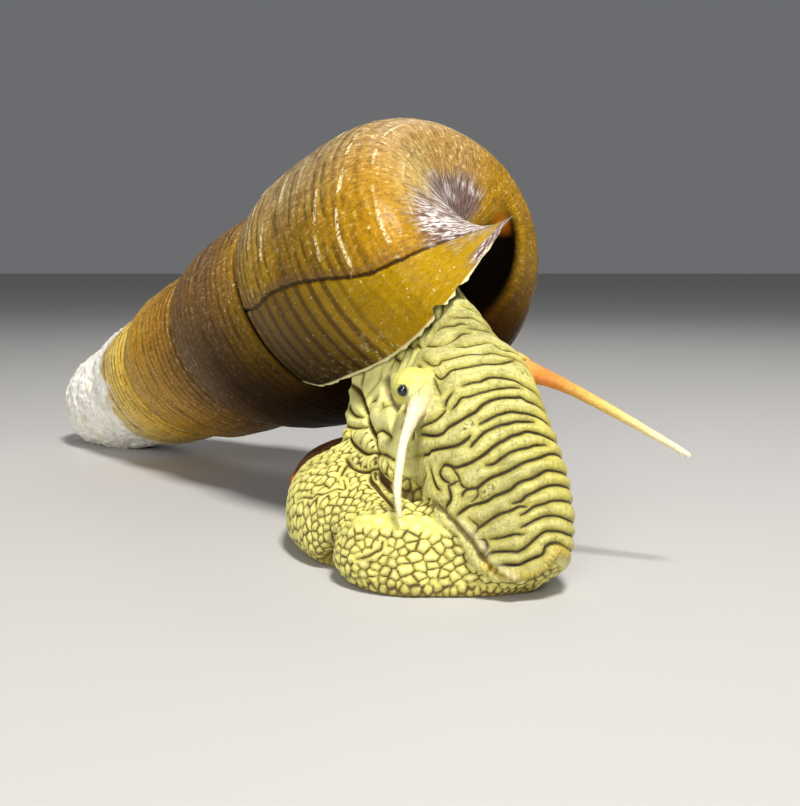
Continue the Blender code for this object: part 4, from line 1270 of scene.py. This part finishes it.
def paintSkin():
    p = Paint("wetSkin")
    c = {name: hexColour(value) for name, value in skinColours.items()}
    banded, far, ink, cells = p.value("banded"), p.value("lineFar"), p.value("lineInk"), p.value("cells")
    neck, tint, feeler = p.value("neck"), p.value("cellTint"), p.value("feeler")
    streak = p.vector(p.times(p.value("besideX"), 4.5), p.times(p.value("besideY"), 4.5),
                      p.times(p.value("alongSnout"), 0.9))
    streaks = p.noise(1.0, 4.0, streak, roughness=0.65)
    base = p.mix(p.step(neck, 0.0, 1.0, 0.0, 0.8), c["foot"], c["top"])
    base = p.mix(p.times(banded, 0.8), base, c["snout"])
    # Painted highlight: the tops of the pillows between the furrows paler
    base = p.mix(p.times(p.step(far, 0.12, 0.5), p.times(banded, 0.45)), base, c["pale"])
    patches = p.times(p.step(p.noise(0.4, 4.0), 0.48, 0.72), p.step(p.value("ridge"), 0.6, 0.0, 0.0, 0.55))
    base = p.mix(patches, base, c["olive"])
    base = p.mix(p.times(p.step(streaks, 0.5, 0.72), p.step(banded, 0.0, 1.0, 0.15, 0.65)), base,
                 c["olive"])
    base = p.mix(p.step(p.noise(9.0, 3.0, roughness=0.7), 0.5, 0.75, 0.0, 0.4), base, c["brown"])
    mottled = p.step(p.noise(1.3, 5.0, roughness=0.7), 0.5, 0.66, 0.0, 0.45)
    base = p.mix(p.times(mottled, p.step(banded, 0.0, 1.0, 0.35, 1.0)), base, c["olive"])
    # Painted shade: the middle of the snout, below its top, darker olive
    middle = p.times(p.step(p.math("ABSOLUTE", p.plus(p.value("besideX"), 1.0)), 2.6, 0.4, 0.0, 0.3),
                     banded)
    base = p.mix(p.times(middle, p.step(p.value("height"), 10.5, 7.5)), base, c["olive"])
    # Painted highlight: the right side of the snout more golden
    base = p.mix(p.times(p.step(p.value("besideX"), 1.8, 4.0, 0.0, 0.5), banded), base, c["highlightGold"])
    base = p.mix(p.times(p.step(tint, 0.55, 1.0), p.times(cells, 0.2)), base, c["olive"])
    # Painted highlight: the domed tops of the cells paler
    base = p.mix(p.times(p.step(far, 0.12, 0.34), p.times(cells, 0.55)), base, c["pale"])
    # Soft shade beside the lines, then the lines themselves
    shade = p.times(p.step(far, 0.3, 0.03), p.times(ink, 0.55))
    base = p.mix(shade, base, c["shade"])
    wide = p.plus(p.times(ink, 0.075), p.times(p.noise(4.0, 4.0), 0.045))
    wide = p.minus(wide, p.times(cells, 0.018))
    line = p.minus(1.0, p.step(far, p.minus(wide, 0.045), p.plus(wide, 0.04)))
    line = p.times(line, p.step(ink, 0.1, 0.7, 0.15, 0.95))
    base = p.mix(line, base, p.mix(p.times(banded, 0.85), c["brown"], c["line"]))
    # Painted shade: dark brown in the creases of the folds
    base = p.mix(p.times(p.step(p.value("fold"), 0.35, 1.0), 0.75), base, c["fold"])
    base = p.mix(p.times(p.step(p.value("spots"), 0.1, 0.9), p.step(p.noise(4.0, 4.0, roughness=0.7), 0.5,
                                                                    0.58, 0.0, 0.75)), base, c["line"])
    base = p.mix(p.times(p.value("frill"), 0.75), base, c["lip"])
    # Painted shade in the hollows between the pleats of the lip's frill
    base = p.mix(p.times(p.value("pleats"), 0.6), base, c["fold"])
    base = p.mix(p.times(p.value("snoutEdge"), 0.6), base, c["edge"])
    # Painted shade: darker brown low down, near the floor
    low = p.plus(p.value("height"), p.times(p.noise(1.5, 3.0), 0.5))
    base = p.mix(p.step(low, 0.9, 0.3, 0.0, 0.6), base, c["sole"])
    ragged = p.plus(p.value("eyeFar"), p.times(p.minus(p.noise(7.0, 3.0), 0.5), 0.3))
    base = p.mix(p.step(ragged, 0.47, 0.36, 0.0, 0.9), base, c["eye"])
    left = p.value("feelerSide")
    tip = p.mix(p.times(p.step(p.value("feelerAlong"), 0.92, 0.55, 0.0, 0.85), left), c["feeler"],
                c["straw"])
    tip = p.mix(p.times(p.step(p.value("feelerAlong"), 0.78, 0.35), left), tip, c["orange"])
    rosy = p.times(p.step(p.value("feelerAlong"), 0.6, 0.3, 0.0, 0.35), p.step(p.noise(2.0, 3.0), 0.4, 0.7))
    tip = p.mix(rosy, tip, c["pink"])
    tip = p.mix(p.step(p.noise(5.0, 3.0), 0.5, 0.75, 0.0, 0.25), tip, c["brown"])
    base = p.mix(feeler, base, tip)
    p.plug(p.shader.inputs["Base Color"], base)
    rough = p.plus(p.times(p.noise(3.0, 3.0), 0.3), 0.28)
    p.plug(p.shader.inputs["Roughness"], rough)
    p.shader.inputs["Subsurface Weight"].default_value = 0.1
    p.shader.inputs["Subsurface Radius"].default_value = (1.0, 0.75, 0.25)
    p.shader.inputs["Subsurface Scale"].default_value = 0.0004
    p.shader.inputs["Coat Weight"].default_value = 0.1
    p.shader.inputs["Coat Roughness"].default_value = 0.2
    grain = p.plus(p.times(p.noise(6.0, 4.0, roughness=0.65), 0.7), p.times(line, -0.5))
    grain = p.plus(grain, p.times(streaks, p.step(banded, 0.0, 1.0, 0.3, 1.4)))
    grain = p.plus(grain, p.times(p.noise(16.0, 3.0), 0.35))
    p.plug(p.shader.inputs["Normal"], p.raiseUp(grain, 0.00016, 0.9))
    return p.material


skinMesh.materials.append(paintSkin())

coatColours = {
    # Along the axis from the tip to the lip, in mm
    "alongAxis": ((41, "#f2ecda"), (56, "#ece0bc"), (62, "#f2cf60"), (68, "#d8a428"), (73, "#ac7c1c"),
                  (78, "#83602e"),
                  (86, "#7c5a34"), (90, "#9a741a"), (95, "#c09610"), (99, "#8a681a"), (104, "#a07a12"),
                  (116, "#b8850f")),
    "axisRange": (40.0, 118.0),
    "newer": "#ad8902", "bright": "#bc880c", "dark": "#40280a", "stripe": "#4e330a", "thread": "#f0e2b0",
    "rest": "#2c1206", "purple": "#5a3c40", "mauve": "#a8928e", "ash": "#f4efec", "mouth": "#040201",
    "throat": "#200c02",
    "deep": "#3c1604", "white": "#fffdf6", "lip": "#f0e6b4", "speck": "#ecdfa8", "top": "#745632",
    "amber": "#a8600c",
    "crownSheen": "#c4ac84", "under": "#1c0f04", "plum": "#5a3c22", "cream": "#f6dc8c", "stain": "#d9c27c",
    "stripeGap": 1.62, "stripeStart": 15.4,
}


def paintShell():
    p = Paint("hornyCoat")
    k = coatColours
    c = {name: hexColour(value) for name, value in k.items() if isinstance(value, str)}
    turn, growth, across, axial = p.value("turn"), p.value("growth"), p.value("across"), p.value("axial")
    newer, worn, pole, cord = p.value("newer"), p.value("worn"), p.value("pole"), p.value("cord")
    fibre = p.vector(p.times(growth, 420.0), p.times(across, 0.7), turn)
    silk = p.noise(1.0, 4.0, fibre, roughness=0.7)
    hatch = p.noise(1.0, 4.0, p.vector(p.times(growth, 170.0), p.times(across, 1.6), turn), roughness=0.75)
    grain = p.noise(3.5, 5.0, roughness=0.75)
    broad = p.noise(1.0, 3.0, p.vector(p.times(growth, 60.0), p.times(across, 0.3), turn))
    spiral = p.noise(1.0, 4.0, p.vector(p.times(growth, 14.0), p.times(across, 2.6), turn))
    low, high = k["axisRange"]
    wobble = p.times(p.minus(p.noise(0.25, 4.0), 0.5), 0.09)
    place = p.plus(p.math("DIVIDE", p.minus(axial, low), high - low), wobble)
    stops = [((a - low) / (high - low), colour) for a, colour in k["alongAxis"]]
    base = p.ramp(place, stops)
    body = p.step(turn, 0.97, 1.0, 1.0, 0.0)
    # Painted sheen dulls the top of the last whorl to a pale tan, painted highlights brighten its middle
    # and a cream patch near the columella, and painted shade darkens its underside further on
    crownSheen = p.times(p.times(p.step(growth, 0.14, 0.26), p.step(growth, 0.5, 0.4)), body)
    base = p.mix(p.times(crownSheen, 0.6), base, c["crownSheen"])
    # Painted highlight across the middle of the last whorl
    middleHighlight = p.times(p.step(across, 2.0, 4.5), p.step(across, 16.0, 9.0))
    middleHighlight = p.times(middleHighlight, p.times(body, p.step(growth, 0.75, 0.3, 0.0, 1.0)))
    base = p.mix(p.times(middleHighlight, 0.5), base, c["bright"])
    # Painted highlight: a cream patch near the columella
    pale = p.times(p.step(across, 9.5, 5.0), p.step(growth, 0.36, 0.22))
    pale = p.times(pale, p.step(growth, 0.09, 0.15, 0.0, 0.5))
    base = p.mix(p.times(pale, body), base, c["cream"])
    base = p.mix(p.times(newer, 0.9), base, c["newer"])
    base = p.mix(p.step(broad, 0.5, 0.85, 0.0, 0.35), base, c["dark"])
    base = p.mix(p.step(spiral, 0.5, 0.8, 0.0, 0.35), base, c["bright"])
    base = p.mix(p.step(p.noise(0.45, 5.0, roughness=0.65), 0.5, 0.75, 0.0, 0.4), base, c["top"])
    older = p.step(newer, 0.0, 1.0, 1.0, 0.45)
    base = p.mix(p.times(p.step(grain, 0.5, 0.68), p.times(older, 0.55)), base, c["plum"])
    base = p.mix(p.times(p.step(hatch, 0.5, 0.7), p.times(older, 0.6)), base, c["plum"])
    base = p.mix(p.times(p.step(hatch, 0.45, 0.3), p.times(older, 0.45)), base, c["cream"])
    base = p.mix(p.times(crownSheen, p.step(hatch, 0.46, 0.3, 0.0, 0.7)), base, c["speck"])
    base = p.mix(p.times(crownSheen, p.step(silk, 0.5, 0.66, 0.0, 0.6)), base, c["plum"])
    # Spiral cords, and the dark stripes below the rest line
    furrows = p.times(p.step(cord, 0.5, 0.0, 0.0, 0.7), p.step(newer, 0.0, 1.0, 1.0, 0.15))
    furrows = p.times(furrows, p.step(p.noise(1.0, 4.0, p.vector(p.times(growth, 26.0), across, turn)),
                                      0.38, 0.62, 0.1, 1.0))
    base = p.mix(p.times(furrows, p.step(across, 9.0, 14.5, 0.12, 1.0)), base, c["dark"])
    turnAngle = p.times(p.minus(across, k["stripeStart"]), 2 * math.pi / k["stripeGap"])
    stripe = p.math("COSINE", p.plus(turnAngle, p.times(spiral, 2.0)))
    stripe = p.step(p.plus(stripe, p.times(spiral, 0.8)), 0.0, 1.4, 0.0, 0.9)
    reach = p.times(p.step(across, 13.5, 17.0), p.step(growth, 0.14, 0.1, 0.1, 0.9))
    base = p.mix(p.times(stripe, p.times(reach, body)), base, c["stripe"])
    base = p.mix(p.times(p.step(across, 17.0, 23.0), p.times(newer, 0.55)), base, c["stripe"])
    # Growth lines
    base = p.mix(p.step(silk, 0.52, 0.75, 0.0, 0.42), base, c["dark"])
    base = p.mix(p.step(silk, 0.42, 0.26, 0.0, 0.25), base, c["speck"])
    base = p.mix(p.times(p.step(p.value("thread"), 0.2, 0.7), p.step(p.noise(5.0, 3.0), 0.35, 0.6)), base,
                 c["thread"])
    seam = p.step(p.value("seamFar"), 0.5, 0.05)
    base = p.mix(p.times(seam, p.step(broad, 0.35, 0.65, 0.0, 0.3)), base, c["dark"])
    base = p.mix(p.step(p.value("nodules"), 0.35, 0.9, 0.0, 0.5), base, c["speck"])
    # The line where growth rested
    restFar = p.plus(p.value("restFar"), p.times(p.minus(p.noise(2.5, 4.0), 0.5), 0.35))
    rest = p.times(p.step(p.math("ABSOLUTE", restFar), 0.27, 0.07), p.step(turn, 0.25, 0.18))
    base = p.mix(p.times(rest, p.step(across, 1.0, 6.0, 0.3, 0.9)), base, c["rest"])
    above = p.times(p.step(p.math("ABSOLUTE", p.minus(restFar, 0.5)), 0.35, 0.1), p.step(turn, 0.25, 0.18))
    base = p.mix(p.times(above, 0.45), base, c["top"])
    # Specks and crusts
    crust = p.times(p.step(p.noise(1.6, 5.0, roughness=0.75), 0.54, 0.6), p.step(growth, 0.05, 0.0, 0.0,
                                                                                 0.8))
    crust = p.times(crust, p.step(across, 13.0, 17.0))
    base = p.mix(p.times(crust, body), base, c["speck"])
    base = p.mix(p.step(p.noise(3.2, 2.0), 0.7, 0.74, 0.0, 0.75), base, c["speck"])
    # Worn columella end, with its radial wrinkles
    rays = p.noise(1.0, 5.0, p.vector(p.times(growth, 260.0), p.times(across, 0.9), turn), roughness=0.7)
    wrinkles = p.plus(p.times(p.value("wrinkles"), 0.35), p.times(p.minus(rays, 0.5), 4.5))
    patch = p.math("MAXIMUM", pole, p.value("pull"))
    patch = p.plus(patch, p.times(p.minus(silk, 0.5), 0.9))
    patch = p.step(p.plus(patch, p.times(p.minus(p.noise(0.8, 4.0), 0.5), 0.7)), 0.12, 0.8)
    ash = p.mix(p.step(wrinkles, -0.5, 0.3), c["purple"], c["mauve"])
    ash = p.mix(p.step(wrinkles, -0.1, 0.4), ash, c["ash"])
    ash = p.mix(p.times(p.step(growth, 0.14, 0.3), p.step(p.noise(0.9, 4.0), 0.3, 0.6, 0.0, 0.8)), ash,
                c["purple"])
    base = p.mix(p.times(patch, 0.9), base, ash)
    # Painted shade in dark red-brown on the base of the last whorl behind the mouth
    behind = p.times(p.step(turn, 0.62, 0.76), p.times(p.step(across, 22.0, 15.0), body))
    base = p.mix(p.times(behind, 0.9), base, c["deep"])
    # Painted shade: near-black, in the mouth's colour, in the hollow between the lip and the older whorl
    hollow = p.times(p.step(turn, 0.53, 0.6), p.times(p.step(across, 6.1, 5.2), body))
    base = p.mix(hollow, base, c["mouth"])
    amber = p.times(p.step(p.math("ABSOLUTE", p.minus(turn, 0.585)), 0.035, 0.0), p.step(across, 5.4, 4.6))
    amber = p.times(amber, p.step(p.noise(0.7, 4.0), 0.2, 0.5))
    base = p.mix(p.times(amber, p.step(across, 2.6, 4.2, 0.0, 0.8)), base, c["amber"])
    # Painted shade: darker low down on the whorls towards the lip, except on most of the newer shell
    underShade = p.times(p.step(p.value("shellHeight"), 20.5, 9.5, 0.0, 0.95), p.step(axial, 72.0, 88.0))
    underShade = p.times(underShade, p.step(p.times(newer, p.step(across, 20.0, 14.0)), 0.0, 1.0, 1.0, 0.0))
    base = p.mix(underShade, base, c["under"])
    # White worn tip
    white = p.step(p.plus(worn, p.times(p.minus(p.noise(0.9, 4.0), 0.5), 0.9)), 0.3, 0.75)
    tipColour = p.mix(p.step(p.noise(0.6, 5.0, roughness=0.7), 0.5, 0.7, 0.0, 0.6), c["white"], c["stain"])
    tipColour = p.mix(p.step(p.noise(2.2, 4.0, roughness=0.7), 0.58, 0.68, 0.0, 0.6), tipColour, c["top"])
    base = p.mix(white, base, tipColour)
    # Thin pale edge of the lip, and the dark throat
    inside = p.value("inside")
    edge = p.times(p.step(p.math("ABSOLUTE", growth), 0.0045, 0.002), p.step(across, 1.0, 2.5))
    base = p.mix(p.times(edge, p.step(turn, 0.5, 0.3)), base, c["lip"])
    throat = p.mix(p.step(p.noise(0.5, 3.0), 0.4, 0.7, 0.0, 0.5), c["mouth"], c["throat"])
    base = p.mix(p.step(inside, 0.2, 0.9), base, throat)
    p.plug(p.shader.inputs["Base Color"], base)
    rough = p.plus(p.times(silk, 0.25), p.times(patch, 0.2))
    matt = p.math("MAXIMUM", p.math("MAXIMUM", hollow, underShade), p.math("MAXIMUM", inside, behind))
    p.plug(p.shader.inputs["Roughness"], p.plus(rough, p.plus(p.times(white, 0.2), 0.12)))
    p.plug(p.shader.inputs["Specular IOR Level"], p.step(matt, 0.0, 1.0, 0.14, 0.02))
    p.plug(p.shader.inputs["Coat Weight"], p.step(matt, 0.0, 1.0, 0.05, 0.0))
    p.shader.inputs["Coat Roughness"].default_value = 0.2
    p.shader.inputs["Specular Tint"].default_value = (1.0, 0.78, 0.35, 1)
    fine = p.plus(p.times(silk, 1.0), p.times(p.noise(9.0, 3.0), 0.35))
    fine = p.plus(fine, p.plus(p.times(cord, 0.3), p.times(hatch, 1.6)))
    fine = p.plus(fine, p.plus(grain, p.times(rays, p.times(patch, 4.0))))
    p.plug(p.shader.inputs["Normal"], p.raiseUp(fine, 0.00004, 0.9))
    return p.material


def paintEye():
    p = Paint("eyeGloss")
    p.plug(p.shader.inputs["Base Color"], p.mix(p.step(p.noise(3.0, 2.0), 0.4, 0.7), hexColour("#05070f"),
                                                hexColour("#122042")))
    p.shader.inputs["Roughness"].default_value = 0.12
    p.shader.inputs["Coat Weight"].default_value = 0.6
    return p.material


def paintLid():
    p = Paint("lidHorn")
    middle = p.value("fromMiddle")
    fibre = p.noise(1.0, 3.0, p.vector(p.times(p.value("round"), 30.0), p.times(middle, 3.0), 0.0))
    base = p.mix(p.step(fibre, 0.4, 0.7), hexColour("#5a300e"), hexColour("#c07a26"))
    rings = p.math("SINE", p.times(middle, lidForm["growthRings"] * 2 * math.pi))
    base = p.mix(p.step(rings, 0.0, 1.0, 0.0, 0.6), base, hexColour("#2c1406"))
    grit = p.noise(2.2, 5.0, roughness=0.75)
    base = p.mix(p.step(grit, 0.5, 0.62, 0.0, 0.7), base, hexColour("#241006"))
    rim = p.times(p.step(middle, 0.72, 0.9), p.step(grit, 0.6, 0.45))
    base = p.mix(rim, base, hexColour("#b8601c"))
    hair = p.times(p.step(middle, 0.7, 0.95), p.step(fibre, 0.52, 0.62))
    base = p.mix(hair, base, hexColour("#e8c98c"))
    p.plug(p.shader.inputs["Base Color"], base)
    p.shader.inputs["Roughness"].default_value = 0.6
    p.plug(p.shader.inputs["Normal"], p.raiseUp(p.plus(fibre, grit), 0.00015, 1.0))
    return p.material


eyePaint = paintEye()
for mesh in eyeMeshes:
    mesh.materials.append(eyePaint)
lidMesh.materials.append(paintLid())
shellMesh.materials.append(paintShell())
print("materials made")


# Floor and light

studio = {
    "floorSize": 3.0, "floorColour": (0.52, 0.51, 0.50, 1),
    "worldColour": (0.86, 0.88, 0.92, 1), "worldStrength": 0.17,
    "aim": (-0.008, 0.012, 0.012),    # where the lamps point, m
    "lamps": (
        ("keyLight", (0.04, -0.12, 0.28), 0.06, 1.12, (1.0, 0.98, 0.94)),
        ("fillLight", (-0.08, -0.28, 0.12), 0.12, 0.42, (1.0, 0.98, 0.94)),
        ("backLight", (0.04, 0.22, 0.22), 0.12, 0.09, (1.0, 1.0, 1.0)),
    ),
}


def lookAt(obj, target):
    obj.rotation_euler = (Vector(target) - obj.location).to_track_quat("-Z", "Y").to_euler()


floorMesh = meshFrom("studioFloor", np.array([(-1, -1, 0), (1, -1, 0), (1, 1, 0),
                                              (-1, 1, 0)]) * studio["floorSize"], [(0, 1, 2, 3)])
studioFloor = addObject("studioFloor", floorMesh)
floorPaint = bpy.data.materials.new("paleFloor")
floorPaint.use_nodes = True
floorPaint.node_tree.nodes["Principled BSDF"].inputs["Base Color"].default_value = studio["floorColour"]
floorPaint.node_tree.nodes["Principled BSDF"].inputs["Roughness"].default_value = 0.7
floorMesh.materials.append(floorPaint)
for name, place, size, power, colour in studio["lamps"]:
    lampData = bpy.data.lights.new(name, "AREA")
    lampData.shape = "DISK"
    lampData.size = size
    lampData.energy = power
    lampData.color = colour
    lamp = bpy.data.objects.new(name, lampData)
    bpy.context.scene.collection.objects.link(lamp)
    lamp.location = place
    lookAt(lamp, studio["aim"])
world = bpy.data.worlds.new("studioWorld")
bpy.context.scene.world = world
world.use_nodes = True
world.node_tree.nodes["Background"].inputs["Color"].default_value = studio["worldColour"]
world.node_tree.nodes["Background"].inputs["Strength"].default_value = studio["worldStrength"]
bpy.context.scene.view_settings.view_transform = "Standard"
